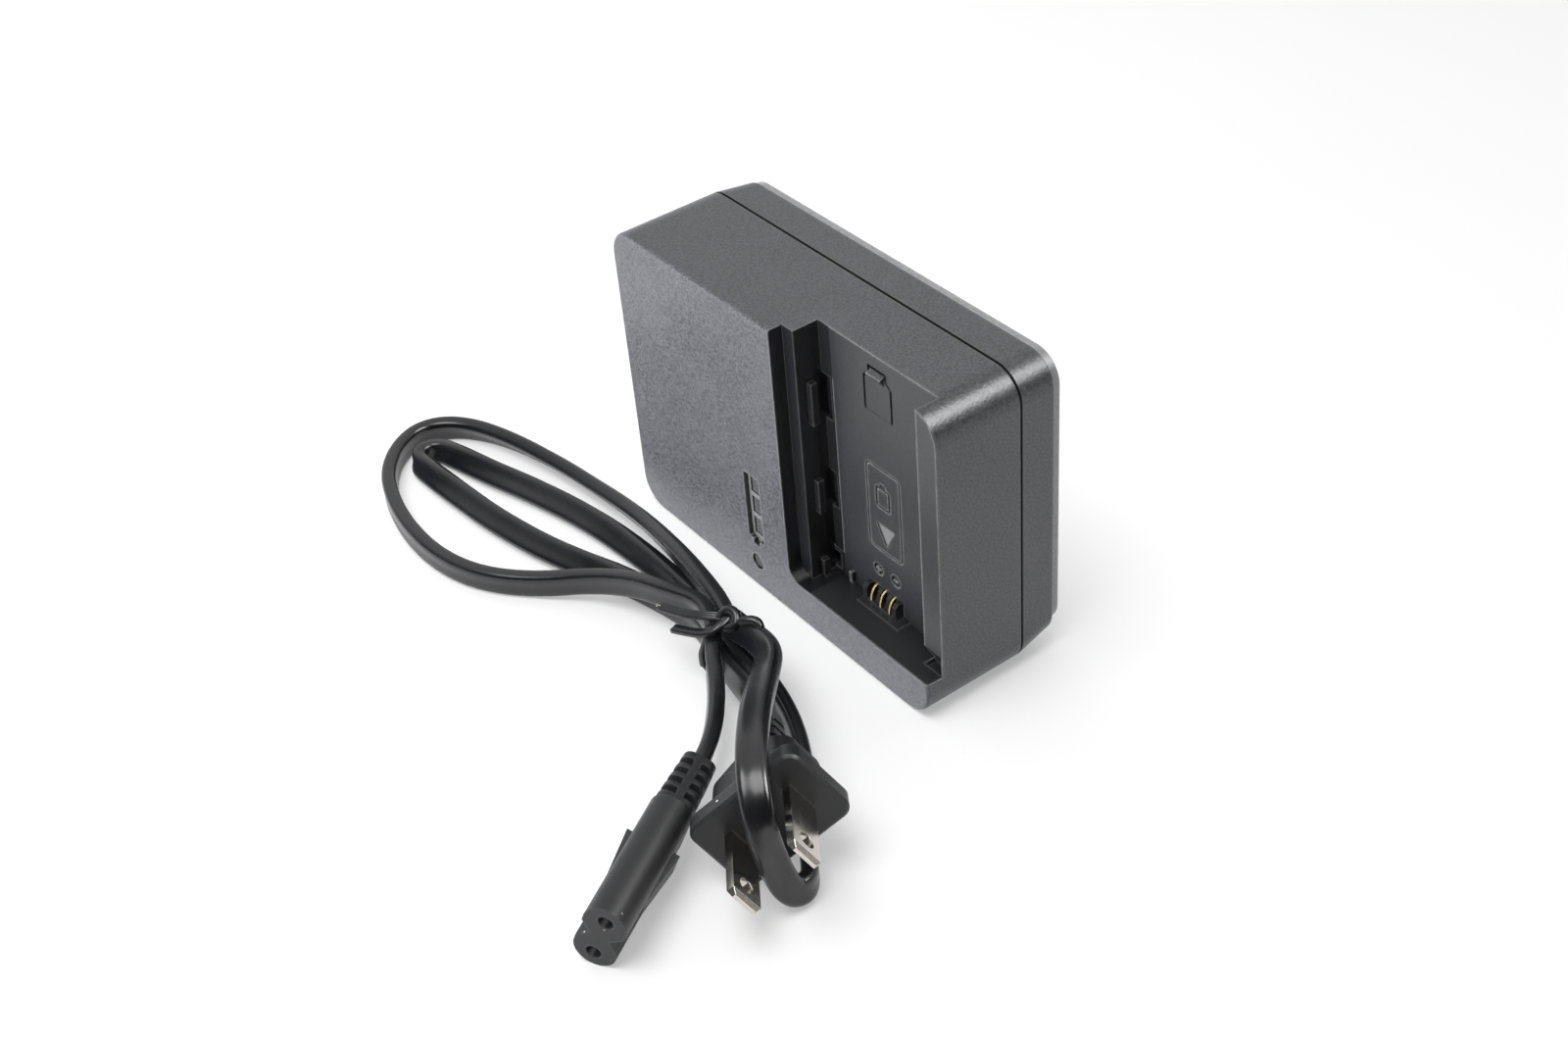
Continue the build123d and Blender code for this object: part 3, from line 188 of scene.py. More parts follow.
def sweep_profile(name, line, rolls, profile):
    """A closed tube with the profile at each point of the line, above the floor, with UVs along its run."""
    sides, ups = frames_along(line)
    size = len(profile)
    vertices = []
    for place, side, up, roll in zip(line, sides, ups, rolls):
        wide = side * math.cos(roll) + up * math.sin(roll)
        flat = up * math.cos(roll) - side * math.sin(roll)
        outline = np.array([place + (wide * x + flat * y) * MM for x, y in profile])
        outline[:, 2] -= min(outline[:, 2].min(), 0.0)
        vertices += outline.tolist()
    faces = []
    for ring in range(len(line) - 1):
        for step in range(size):
            a = ring * size + step
            b = ring * size + (step + 1) % size
            faces.append((a, b, b + size, a + size))
    faces.append(tuple(reversed(range(size))))
    faces.append(tuple(range((len(line) - 1) * size, len(line) * size)))
    mesh = bpy.data.meshes.new(name)
    mesh.from_pydata(vertices, [], faces)
    along = np.concatenate(([0.0], np.cumsum(np.linalg.norm(np.diff(line, axis=0), axis=1))))
    layer = mesh.uv_layers.new(name="run")
    for polygon in mesh.polygons:
        for corner, vertex in zip(polygon.loop_indices, polygon.vertices):
            ring, step = divmod(vertex, size)
            layer.data[corner].uv = (along[ring], step / size)
    mesh.polygons.foreach_set("use_smooth", [True] * len(mesh.polygons))
    mesh.update()
    piece = bpy.data.objects.new(name, mesh)
    bpy.context.scene.collection.objects.link(piece)
    return piece


flat_twin = twin_profile(CORD_WIDTH, CORD_THICK, CORD_CORNER_R, CORD_GROOVE)
cord_rolls = rolls_along([row[3] for row in ROUTE], len(cord_line))
lead_jacket = sweep_profile("lead_jacket", cord_line, cord_rolls, flat_twin)
print("cord mesh:", len(lead_jacket.data.polygons), "faces")

# %% [markdown]
# ## The wire tie
# A plastic-coated wire tie holds the bundle. It is a flat strip with the wire inside: it goes loosely round
# the four strands, its ends are twisted into two knuckles on top, and the two cut tails lie out to the
# left. One tail shows the ridges of its coating and the bright end of the wire. All are made as the cord
# is, from listed points on smooth lines: a ridged or plain strip is swept for the flat runs, and a
# round one where the strip is twisted.

# %% Wire tie
TIE_WIDTH = 1.8
TIE_THICK = 0.8
TIE_KNUCKLE_R = 0.95
TIE_WIRE_R = 0.3
TIE_RIDGES = 3
TIE_RIDGE_DEPTH = 0.16
TIE_STEPS = 10
TIE_RING = [
    (9.8, -34.4, 12.5), (9.9, -36.9, 12.2), (9.6, -38.7, 10.2), (9.0, -39.2, 6.0), (9.2, -38.7, 1.9),
    (9.3, -36.6, 0.5), (9.4, -33.3, 0.45), (9.5, -30.4, 0.5), (9.7, -29.0, 2.4), (9.8, -28.9, 7.0),
    (9.8, -29.6, 11.0), (9.8, -31.6, 12.3), (9.8, -34.0, 12.5),
]
TIE_TAIL_UPPER = [
    (10.4, -34.0, 13.1), (8.4, -35.9, 13.1), (4.7, -38.2, 12.5), (1.2, -39.4, 11.7), (-2.3, -40.2, 11.2),
]
TIE_TAIL_LOWER = [
    (10.6, -33.6, 13.2), (11.2, -36.0, 12.8), (10.3, -38.3, 11.6), (7.4, -39.9, 10.9), (3.5, -41.2, 10.1),
]
TIE_KNUCKLE_NEAR = [
    (9.6, -35.2, 12.4), (9.3, -33.2, 14.2), (11.9, -32.4, 14.2), (13.5, -34.0, 12.5), (11.8, -35.3, 11.9),
]
TIE_KNUCKLE_FAR = [
    (11.6, -33.8, 12.2), (13.6, -32.7, 13.6), (15.7, -30.8, 14.0), (17.2, -31.0, 12.6), (16.2, -31.9, 11.0),
]
TIE_WIRE_END = [(-2.0, -40.2, 11.35), (-2.4, -40.3, 11.3), (-2.75, -40.4, 11.25)]


def round_profile(radius, count=10):
    """A circle of points."""
    turns = [2 * math.pi * step / count for step in range(count)]
    return [(radius * math.cos(t), radius * math.sin(t)) for t in turns]


def strip_profile(width, thick, ridges=0, depth=0.0):
    """The outline of a flat strip, anticlockwise, with ridges along both faces where they are asked for."""
    across = np.linspace(-width / 2, width / 2, 6 * ridges + 3)
    hollow = depth * (0.5 - 0.5 * np.cos(2 * math.pi * ridges * (across / width + 0.5)))
    lower = [(x, h - thick / 2) for x, h in zip(across, hollow)]
    return lower + [(-x, -y) for x, y in lower]


def along_points(name, points, profile):
    """A profile swept along a smooth line through the given control points."""
    line = spline_points(name, [Vector(point) * MM for point in points], TIE_STEPS)
    return sweep_profile(name, line, np.zeros(len(line)), profile)


plain_strip = strip_profile(TIE_WIDTH, TIE_THICK)
ridged_strip = strip_profile(TIE_WIDTH, TIE_THICK, TIE_RIDGES, TIE_RIDGE_DEPTH)
knuckle = round_profile(TIE_KNUCKLE_R)
tie_pieces = [
    along_points("tie_ring", TIE_RING, plain_strip),
    along_points("tie_tail_upper", TIE_TAIL_UPPER, ridged_strip),
    along_points("tie_tail_lower", TIE_TAIL_LOWER, plain_strip),
    along_points("tie_knuckle_near", TIE_KNUCKLE_NEAR, knuckle),
    along_points("tie_knuckle_far", TIE_KNUCKLE_FAR, knuckle),
]
tie_wire = along_points("tie_wire_end", TIE_WIRE_END, round_profile(TIE_WIRE_R))
print("tie:", len(tie_pieces), "runs and the wire's end")

# %% [markdown]
# ## Building materials from nodes
# A material is a small tree of nodes. Writing every node and link by hand soon fills a page, so one helper
# makes a node, sets its options, and fills each input with a number or with the output of another node.

# %% Node helpers


def add_node(tree, kind, values=None, **options):
    """A node with its options set, and its inputs filled with numbers or joined to other nodes' outputs."""
    node = tree.nodes.new(kind)
    for option, choice in options.items():
        setattr(node, option, choice)
    for key, value in (values or {}).items():
        if isinstance(value, bpy.types.NodeSocket):
            tree.links.new(value, node.inputs[key])
        else:
            node.inputs[key].default_value = value
    return node


def add_math(tree, operation, first, second=0.0, third=0.0, clamp=False):
    """One sum on numbers or outputs."""
    return add_node(
        tree, "ShaderNodeMath", {0: first, 1: second, 2: third}, operation=operation, use_clamp=clamp
    ).outputs[0]


def blend_colours(tree, mask, below, above):
    """The colour below where the mask is 0 and the colour above where it is 1."""
    node = add_node(tree, "ShaderNodeMix", {0: mask, 6: below, 7: above}, data_type="RGBA")
    return node.outputs[2]


def ramp_value(tree, value, low, high, to_low, to_high):
    """The value's range from low to high, stretched to a new range and held at its ends."""
    return add_node(
        tree, "ShaderNodeMapRange", {0: value, 1: low, 2: high, 3: to_low, 4: to_high}, clamp=True
    ).outputs[0]


def place_in_mm(tree):
    """The place on the piece in millimetres, the same in every view."""
    where = add_node(tree, "ShaderNodeTexCoord").outputs["Object"]
    return add_node(tree, "ShaderNodeVectorMath", {0: where, "Scale": 1 / MM}, operation="SCALE").outputs[0]


def new_material(name):
    """A material with its node tree and its shader."""
    material = bpy.data.materials.new(name)
    material.use_nodes = True
    tree = material.node_tree
    return material, tree, tree.nodes["Principled BSDF"]


def scaled(tone, factor, plus=0.0):
    """A colour with each part of the tone times a factor, and a little added."""
    return shade(*[factor * level + plus for level in tone])


def shade(*levels):
    """A colour with full opacity, from one grey level or from red, green and blue."""
    return (*levels, 1.0) if len(levels) == 3 else (levels[0], levels[0], levels[0], 1.0)


print("helpers ready")

# %% [markdown]
# ## Effects that several finishes share
# Moulded plastic is never quite even: it has a fine grain from the mould, soft clouds of tone, paler edges,
# which are partly wear where hands and tables rub and partly a painted highlight along the edge, and a few
# specks of dust. Each of these is a node group, built once. A group gives out masks and values only; each
# finish decides what to do with them.

# %% Shared effects
NOISE_SPAN = (0.35, 0.65)
GRAIN_SHARE = 0.88
CLOUD_SCALE = 0.09
EDGE_SPAN = (0.93, 0.55)
PATCH_SCALE = 0.7
PATCH_SPAN = (0.3, 0.65)
PATCH_LEAST = 0.55


def new_group(name, inputs, outputs):
    """An empty shader group with named sockets, and its input and output nodes."""
    group = bpy.data.node_groups.new(name, "ShaderNodeTree")
    for label, kind in inputs:
        group.interface.new_socket(label, in_out="INPUT", socket_type="NodeSocket" + kind)
    for label, kind in outputs:
        group.interface.new_socket(label, in_out="OUTPUT", socket_type="NodeSocket" + kind)
    return group, group.nodes.new("NodeGroupInput"), group.nodes.new("NodeGroupOutput")


def mould_grain_group():
    """Fine grain for bump and soft clouds for tone. Grain counts the bumps in a millimetre."""
    group, start, end = new_group(
        "mould_grain", [("Place", "Vector"), ("Grain", "Float")], [("Tone", "Float"), ("Height", "Float")]
    )
    place = start.outputs["Place"]
    grain = start.outputs["Grain"]
    fine = add_node(group, "ShaderNodeTexNoise", {"Vector": place, "Scale": grain, "Detail": 2.0})
    cloud = add_node(group, "ShaderNodeTexNoise", {"Vector": place, "Scale": CLOUD_SCALE, "Detail": 3.0})
    clouded = add_math(group, "MULTIPLY", cloud.outputs[0], 1 - GRAIN_SHARE)
    mixed = add_math(group, "MULTIPLY_ADD", fine.outputs[0], GRAIN_SHARE, clouded)
    group.links.new(mixed, end.inputs["Tone"])
    group.links.new(fine.outputs[0], end.inputs["Height"])
    return group


def edge_wear_and_highlight_group():
    """Edges painted paler, partly as wear and partly as a painted highlight. Inside is the openness measured from
    within, low near an outer edge.
    """
    group, start, end = new_group(
        "edge_wear_and_highlight", [("Place", "Vector"), ("Inside", "Float")], [("Mask", "Float")]
    )
    place = start.outputs["Place"]
    near_edge = ramp_value(group, start.outputs["Inside"], *EDGE_SPAN, 0.0, 1.0)
    patchy = add_node(group, "ShaderNodeTexNoise", {"Vector": place, "Scale": PATCH_SCALE, "Detail": 2.0})
    share = ramp_value(group, patchy.outputs[0], *PATCH_SPAN, PATCH_LEAST, 1.0)
    group.links.new(add_math(group, "MULTIPLY", near_edge, share), end.inputs["Mask"])
    return group


def dust_group():
    """A mask of small specks. Spread counts the cells in a millimetre, and Share how many hold a speck."""
    group, start, end = new_group(
        "dust",
        [("Place", "Vector"), ("Spread", "Float"), ("Share", "Float"), ("Size", "Float")],
        [("Mask", "Float")],
    )
    cells = add_node(
        group, "ShaderNodeTexVoronoi", {"Vector": start.outputs["Place"], "Scale": start.outputs["Spread"]}
    )
    lot = add_node(group, "ShaderNodeSeparateColor", {0: cells.outputs["Color"]}).outputs[0]
    chosen = add_math(group, "LESS_THAN", lot, start.outputs["Share"])
    reach = add_math(group, "MULTIPLY", start.outputs["Size"], lot)
    reach = add_math(group, "DIVIDE", reach, start.outputs["Share"])
    near = add_math(group, "LESS_THAN", cells.outputs["Distance"], reach)
    group.links.new(add_math(group, "MULTIPLY", chosen, near), end.inputs["Mask"])
    return group


MOULD_GRAIN = mould_grain_group()
EDGE_WEAR_AND_HIGHLIGHT = edge_wear_and_highlight_group()
DUST = dust_group()
print("shared effects:", MOULD_GRAIN.name, EDGE_WEAR_AND_HIGHLIGHT.name, DUST.name)

# %% [markdown]
# ## Moulded plastics
# One small class puts every moulding together: a tone that drifts with the clouds, grain as bump, edges
# painted paler as wear and as a highlight, and dust. The solids have sharp edges, while real mouldings have a
# small radius that catches a thin line of light, so a Bevel node rounds the shading within a fraction of a
# millimetre of each edge.

# %% Moulded plastic
EDGE_LOOK = 0.5
DUST_TONE = (0.42, 0.41, 0.4)
DUST_SPREAD = 0.55
DUST_SIZE = 0.13
DRIFT = 0.15
EDGE_LIFT = 0.01


class Plastic:
    """A moulded plastic while it is put together: its tree, shader, and the values that finishes share."""

    def __init__(self, name, grain):
        self.material, self.tree, self.shader = new_material(name)
        self.place = place_in_mm(self.tree)
        texture = self.effect(MOULD_GRAIN, Grain=grain)
        self.tone = texture.outputs["Tone"]
        self.height = texture.outputs["Height"]

    def effect(self, group, **values):
        """A shared effect at this plastic's place, with its other inputs filled."""
        return add_node(
            self.tree, "ShaderNodeGroup", {"Place": self.place, **values}, node_tree=group
        )

    def drift(self, dark, pale):
        """A colour that drifts between two with the clouds and the grain."""
        return blend_colours(self.tree, ramp_value(self.tree, self.tone, *NOISE_SPAN, 0.0, 1.0), dark, pale)

    def wear_and_highlight_mask(self):
        """The mask of edges painted paler, as wear and as a painted highlight."""
        inside = add_node(
            self.tree, "ShaderNodeAmbientOcclusion", {"Distance": EDGE_LOOK * MM},
            inside=True, only_local=True, samples=4,
        )
        return self.effect(EDGE_WEAR_AND_HIGHLIGHT, Inside=inside.outputs["AO"]).outputs["Mask"]

    def dusty(self, colour, spread, share, size):
        """The colour with pale specks on it."""
        specks = self.effect(DUST, Spread=spread, Share=share, Size=size)
        return blend_colours(self.tree, specks.outputs["Mask"], colour, shade(*DUST_TONE))

    def finish(self, colour, roughness, depth, edge_radius):
        """Joins the colour, the roughness and the rounded, grainy normal to the shader."""
        tree = self.tree
        rounded = add_node(tree, "ShaderNodeBevel", {"Radius": edge_radius * MM}, samples=6)
        bump = add_node(
            tree, "ShaderNodeBump",
            {"Strength": 1.0, "Distance": depth * MM, "Height": self.height, "Normal": rounded.outputs[0]},
        )
        tree.links.new(colour, self.shader.inputs["Base Color"])
        tree.links.new(roughness, self.shader.inputs["Roughness"])
        tree.links.new(bump.outputs[0], self.shader.inputs["Normal"])
        return self.material

    def even_roughness(self, roughness, swing=0.05):
        """A roughness that varies a little with the clouds."""
        return ramp_value(self.tree, self.tone, *NOISE_SPAN, roughness - swing, roughness + swing)


def moulded_plastic(name, tone, roughness, grain, depth, edge_radius, edge_tone, specks=0.0):
    """A plain moulding in one colour."""
    plastic = Plastic(name, grain)
    colour = plastic.drift(scaled(tone, 1 - DRIFT), scaled(tone, 1 + DRIFT))
    # Edges are painted paler, partly as wear and partly as a painted highlight.
    pale = scaled(tone, edge_tone, EDGE_LIFT)
    colour = blend_colours(plastic.tree, plastic.wear_and_highlight_mask(), colour, pale)
    if specks:
        colour = plastic.dusty(colour, DUST_SPREAD, specks, DUST_SIZE)
    return plastic.finish(colour, plastic.even_roughness(roughness), depth, edge_radius)


print("plastics ready")

# %% [markdown]
# ## The housing
# The housing is dark plastic with a fine spark-eroded texture that scatters light, so it looks mid grey.
# The steps at the left of the bay and the shelf below it come from polished steel in the mould, so they are
# smooth and nearly black; the steps' dark colour runs on over the bay's floor beside the wall as a painted
# shadow. The bay's floor is painted darker as shade, the bottom of the arrow is painted paler as a
# reflection of the light, and the bottom of the gauge is paler. The seam, the slits round the latch tongue, a
# line at the tongue's foot and the wall of the lamp's hole hardly get any light, so they are painted nearly
# black as shade. A mask picks each such place by its coordinates, and only the colour, the grain and the
# roughness change there. Deep recesses are also painted darker as shade, by how little of the open air they
# see.

# %% Housing finish
BAY_STEPS_AND_WALL_SHADOW = ((4.75, 10.95), (-15.4, -4.6), (8.6, 63.9))
BAY_SHELF = ((4.8, 45.2), (-15.2, -4.8), (8.3, 9.15))
ARROW_FLOOR = ((21.3, 27.6), (-6.74, -6.66), (22.6, 27.7))
GAUGE_FLOOR = ((-7.3, -2.95), (-14.75, -14.65), (10.4, 27.1))
BAY_FLOOR = ((9.1, 44.96), (-12.05, -6.6), (8.6, 63.9))
SEAM = ((-45.2, 45.2), (6.34, 7.06), (-0.2, 64.2))
TONGUE_AREA = ((19.4, 28.8), (-7.4, -4.6), (50.6, 62.2))
LAMP_WALL = ((-7.15, -3.65), (-15.5, -14.95), (4.75, 8.25))
TONGUE_FOOT_SHADOW = ((20.35, 27.25), (-7.0, -6.9), (51.6, 51.9))
PAD_AREA = ((17.9, 30.7), (-10.8, -5.0), (8.3, 13.2))
SLITS = ((19.4, 28.8), (-6.85, -4.6), (50.6, 62.2))
HOUSING_DARK = (0.029, 0.0304, 0.035)
HOUSING_PALE = (0.078, 0.081, 0.09)
HOUSING_IOR = 1.54
HOUSING_ROUGH = 0.34
HOUSING_GRAIN = 2.2
HOUSING_BUMP = 0.045
HOUSING_EDGE_R = 0.3
BAY_SHADE_TONE = (0.018, 0.0187, 0.021)
PAINTED_SHADE_TONE = (0.003, 0.003, 0.0033)
POLISHED_AND_SHADOW_TONE = (0.0085, 0.009, 0.0105)
POLISHED_ROUGH = 0.26
SHELF_TONE = (0.02, 0.0207, 0.023)
ARROW_REFLECTION_TONE = (0.11, 0.11, 0.114)
GAUGE_TONE = (0.13, 0.13, 0.134)
EDGE_PALE = (0.13, 0.131, 0.135)
STEPS_EDGE_CUT = 0.75
PAD_EDGE_CUT = 0.8
FOOT_SHADOW_SHARE = 0.8
RECESS_LOOK = 9.0
RECESS_SPAN = (0.85, 0.35)
RECESS_SHADE_SHARE = 0.85


def inside_box(tree, parts, box):
    """1 inside the box and 0 outside, from the separated coordinates."""
    mask = None
    for axis, (low, high) in enumerate(box):
        within = add_math(tree, "COMPARE", parts.outputs[axis], (low + high) / 2, (high - low) / 2)
        mask = within if mask is None else add_math(tree, "MULTIPLY", mask, within)
    return mask


def housing_plastic():
    """Textured plastic with polished steps in the bay, painted shade on the bay's floor, in gaps and in recesses,
    a painted shadow beside the bay's wall, a painted reflection on the arrow's floor, and a paler gauge floor.
    """
    plastic = Plastic("housing_texture", HOUSING_GRAIN)
    tree = plastic.tree
    parts = add_node(tree, "ShaderNodeSeparateXYZ", {0: plastic.place})
    facing = add_node(tree, "ShaderNodeNewGeometry").outputs["True Normal"]
    facing = add_node(tree, "ShaderNodeSeparateXYZ", {0: facing})
    upward = add_math(tree, "GREATER_THAN", facing.outputs["Z"], 0.5)
    forward = add_math(tree, "LESS_THAN", facing.outputs["Y"], -0.5)
    bay = add_math(tree, "MULTIPLY", inside_box(tree, parts, BAY_FLOOR), forward)
    steps = inside_box(tree, parts, BAY_STEPS_AND_WALL_SHADOW)
    shelf = add_math(tree, "MULTIPLY", inside_box(tree, parts, BAY_SHELF), upward)
    grainy = add_math(tree, "SUBTRACT", 1.0, add_math(tree, "MAXIMUM", steps, shelf))
    # Painted shade: the seam, the slits, the lamp hole's wall and a line at the tongue's foot are painted nearly
    # black.
    gaps = add_math(tree, "MAXIMUM", inside_box(tree, parts, SEAM), inside_box(tree, parts, SLITS))
    gaps = add_math(tree, "MAXIMUM", gaps, inside_box(tree, parts, LAMP_WALL))
    foot_shadow = inside_box(tree, parts, TONGUE_FOOT_SHADOW)
    gaps = add_math(tree, "MULTIPLY_ADD", foot_shadow, FOOT_SHADOW_SHARE, gaps, clamp=True)
    pad = inside_box(tree, parts, PAD_AREA)
    # Less painted edge highlight and wear on the latch tongue, the steps and the contact pad.
    edge_keep = add_math(tree, "SUBTRACT", 1.0, inside_box(tree, parts, TONGUE_AREA))
    edge_keep = add_math(tree, "MULTIPLY_ADD", steps, -STEPS_EDGE_CUT, edge_keep, clamp=True)
    edge_keep = add_math(tree, "MULTIPLY_ADD", pad, -PAD_EDGE_CUT, edge_keep, clamp=True)
    wear_and_highlight = add_math(tree, "MULTIPLY", plastic.wear_and_highlight_mask(), edge_keep)
    colour = plastic.drift(shade(*HOUSING_DARK), shade(*HOUSING_PALE))
    # The bay's floor is painted darker, as the shade inside the bay.
    colour = blend_colours(tree, bay, colour, shade(*BAY_SHADE_TONE))
    colour = blend_colours(tree, shelf, colour, shade(*SHELF_TONE))
    # The polished steps are nearly black, and the same dark colour on the bay's floor beside the wall is a painted
    # shadow.
    colour = blend_colours(tree, steps, colour, shade(*POLISHED_AND_SHADOW_TONE))
    # The arrow's floor is painted paler, as a painted reflection of the light.
    colour = blend_colours(tree, inside_box(tree, parts, ARROW_FLOOR), colour, shade(*ARROW_REFLECTION_TONE))
    colour = blend_colours(tree, inside_box(tree, parts, GAUGE_FLOOR), colour, shade(*GAUGE_TONE))
    # Painted shade: deep recesses are darkened by how little open air they see.
    outside = add_node(
        tree, "ShaderNodeAmbientOcclusion", {"Distance": RECESS_LOOK * MM}, only_local=True, samples=8
    )
    recess = ramp_value(tree, outside.outputs["AO"], *RECESS_SPAN, 0.0, RECESS_SHADE_SHARE)
    colour = blend_colours(tree, recess, colour, shade(*PAINTED_SHADE_TONE))
    # Edges painted paler: partly wear, partly a painted highlight.
    colour = blend_colours(tree, wear_and_highlight, colour, shade(*EDGE_PALE))
    # The painted shade in the gaps.
    colour = blend_colours(tree, gaps, colour, shade(*PAINTED_SHADE_TONE))
    roughness = plastic.even_roughness(HOUSING_ROUGH)
    roughness = add_math(tree, "SUBTRACT", roughness, POLISHED_ROUGH)
    roughness = add_math(tree, "MULTIPLY_ADD", roughness, grainy, POLISHED_ROUGH)
    plastic.height = add_math(tree, "MULTIPLY", plastic.height, grainy)
    plastic.shader.inputs["IOR"].default_value = HOUSING_IOR
    return plastic.finish(colour, roughness, HOUSING_BUMP, HOUSING_EDGE_R)


housing_texture = housing_plastic()
FINISHES = {"front_shell": housing_texture, "rear_cover": housing_texture}
print("housing finish:", len(housing_texture.node_tree.nodes), "nodes")

# %% [markdown]
# ## The other plastics
# The back panel is smoother and paler than the housing. The contact holder and the inlet are plain black
# mouldings. The overmoulded connector and plug are a soft black with a satin skin, and they gather dust.

# %% Panel, holder, connector and plug
FINISHES["back_panel"] = moulded_plastic(
    "satin_panel", (0.26, 0.26, 0.267), 0.38, grain=1.5, depth=0.006, edge_radius=0.35, edge_tone=1.4
)
holder_black = moulded_plastic(
    "holder_black", (0.006, 0.006, 0.0072), 0.4, grain=3.0, depth=0.006, edge_radius=0.15, edge_tone=2.5
)
for node_name in ("contact_holder", "inlet_socket"):
    FINISHES[node_name] = holder_black
overmould = moulded_plastic(
    "overmould_black", (0.0085, 0.0089, 0.0102), 0.44, grain=2.6, depth=0.02, edge_radius=0.3, edge_tone=2.8,
    specks=0.22,
)
for node_name in ("connector_body", "plug_body"):
    FINISHES[node_name] = overmould
print("plastic pieces:", len(FINISHES))

# %% [markdown]
# ## Metals
# The contact blades are gold plated and the plug's blades nickel plated, while the sleeves deep in the
# connector are dull bronze, painted dark as the shade in its holes. Plating shows faint streaks from the
# rolled strip below it, which vary the roughness and the tone. The gold blades' broad sides are painted
# darker, as shade.

# %% Plated metal
STREAKS = (0.25, 3.0, 3.0)
STREAK_SCALE = 2.0
STREAK_TONE = 0.82
STREAK_SWING = 0.07
STREAK_BUMP = 0.004
STRIP_EDGE_R = 0.12


def plated_metal(name, tone, roughness, metallic=1.0, side_shade_share=1.0):
    """Plated strip with fine streaks. Its sides that look along X are painted darker as shade, keeping only a
    share of its tone.
    """
    material, tree, shader = new_material(name)
    place = place_in_mm(tree)
    stretched = add_node(tree, "ShaderNodeMapping", {"Vector": place, "Scale": STREAKS}).outputs[0]
    streaks = add_node(
        tree, "ShaderNodeTexNoise", {"Vector": stretched, "Scale": STREAK_SCALE, "Detail": 4.0}
    ).outputs[0]
    drift = ramp_value(tree, streaks, *NOISE_SPAN, 0.0, 1.0)
    colour = blend_colours(tree, drift, scaled(tone, STREAK_TONE), shade(*tone))
    # Painted shade on the sides that look along X.
    if side_shade_share < 1:
        facing = add_node(tree, "ShaderNodeNewGeometry").outputs["True Normal"]
        shaded_sides = add_node(tree, "ShaderNodeSeparateXYZ", {0: facing}).outputs["X"]
        shaded_sides = add_math(tree, "GREATER_THAN", add_math(tree, "ABSOLUTE", shaded_sides), 0.7)
        colour = blend_colours(tree, shaded_sides, colour, scaled(tone, side_shade_share))
    tree.links.new(colour, shader.inputs["Base Color"])
    rough = ramp_value(tree, streaks, *NOISE_SPAN, roughness - STREAK_SWING, roughness + STREAK_SWING)
    tree.links.new(rough, shader.inputs["Roughness"])
    rounded = add_node(tree, "ShaderNodeBevel", {"Radius": STRIP_EDGE_R * MM}, samples=4)
    bump = add_node(
        tree, "ShaderNodeBump",
        {"Strength": 0.6, "Distance": STREAK_BUMP * MM, "Height": streaks, "Normal": rounded.outputs[0]},
    )
    tree.links.new(bump.outputs[0], shader.inputs["Normal"])
    shader.inputs["Metallic"].default_value = metallic
    return material


nickel = plated_metal("nickel_plate", (0.66, 0.62, 0.56), 0.15)
FINISHES["contact_blades"] = plated_metal("gold_plate", (1.0, 0.77, 0.38), 0.3, metallic=0.8, side_shade_share=0.1)
for node_name in ("plug_blades", "inlet_pins", "lamp_header"):
    FINISHES[node_name] = nickel
# The sleeves' bronze is painted dark, as the shade deep in the connector's holes.
FINISHES["connector_sleeves"] = plated_metal("bronze_in_shade", (0.1, 0.085, 0.07), 0.5)
FINISHES["housing_screws"] = plated_metal("zinc_plate", (0.56, 0.56, 0.57), 0.34)
FINISHES["heat_sink"] = plated_metal("mill_aluminium", (0.75, 0.75, 0.77), 0.36)
tie_wire.data.materials.append(nickel)
print("finished nodes:", len(FINISHES))

# %% [markdown]
# ## Windows and the parts inside
# The gauge's cells and the lamp are smoked plastic, so they are glossy and grey. The parts inside don't
# show unless the housing is opened, and each still gets a finish of its own kind, from the same plastic
# function.

# %% Windows and inner parts
smoked = moulded_plastic(
    "smoked_window", (0.055, 0.055, 0.058), 0.16, grain=0.8, depth=0.003, edge_radius=0.2, edge_tone=1.6
)
for node_name in ("light_guide", "lamp_lens"):
    FINISHES[node_name] = smoked
BOARD_GREEN = (0.05, 0.28, 0.12)
SLEEVE_BLUE = (0.05, 0.07, 0.16)
EPOXY_BLACK = (0.03, 0.03, 0.03)
INNER = {
    "circuit_board": (BOARD_GREEN, 0.35), "lamp_board": (BOARD_GREEN, 0.35),
    "indicator_leds": ((0.85, 0.83, 0.75), 0.2), "transformer_core": ((0.11, 0.11, 0.12), 0.7),
    "transformer_coil": ((0.85, 0.68, 0.12), 0.4), "bulk_capacitor": (SLEEVE_BLUE, 0.3),
    "output_capacitor": (SLEEVE_BLUE, 0.3), "film_capacitor": ((0.78, 0.6, 0.1), 0.35),
    "line_filter": ((0.1, 0.32, 0.2), 0.45), "fuse": ((0.85, 0.84, 0.8), 0.3),
    "bridge_rectifier": (EPOXY_BLACK, 0.5), "switching_transistor": (EPOXY_BLACK, 0.5),
    "rectifier_diode": (EPOXY_BLACK, 0.5), "charge_controller": (EPOXY_BLACK, 0.5),
}
for node_name, (tone, roughness) in INNER.items():
    FINISHES[node_name] = moulded_plastic(
        "finish_" + node_name, tone, roughness, grain=1.2, depth=0.008, edge_radius=0.15, edge_tone=1.3
    )
for node_name, finish in FINISHES.items():
    slots = nodes[node_name].data.materials
    slots.clear()
    slots.append(finish)
print("nodes with a finish:", len(FINISHES), "of", len(nodes))

# %% [markdown]
# ## The cord's jacket
# The jacket is glossy black plastic that has been wound and rubbed: its gloss changes along its run, and it
# has a few specks. The pattern follows the cord's own UV map, which runs along it, so it doesn't slide over
# the bends.

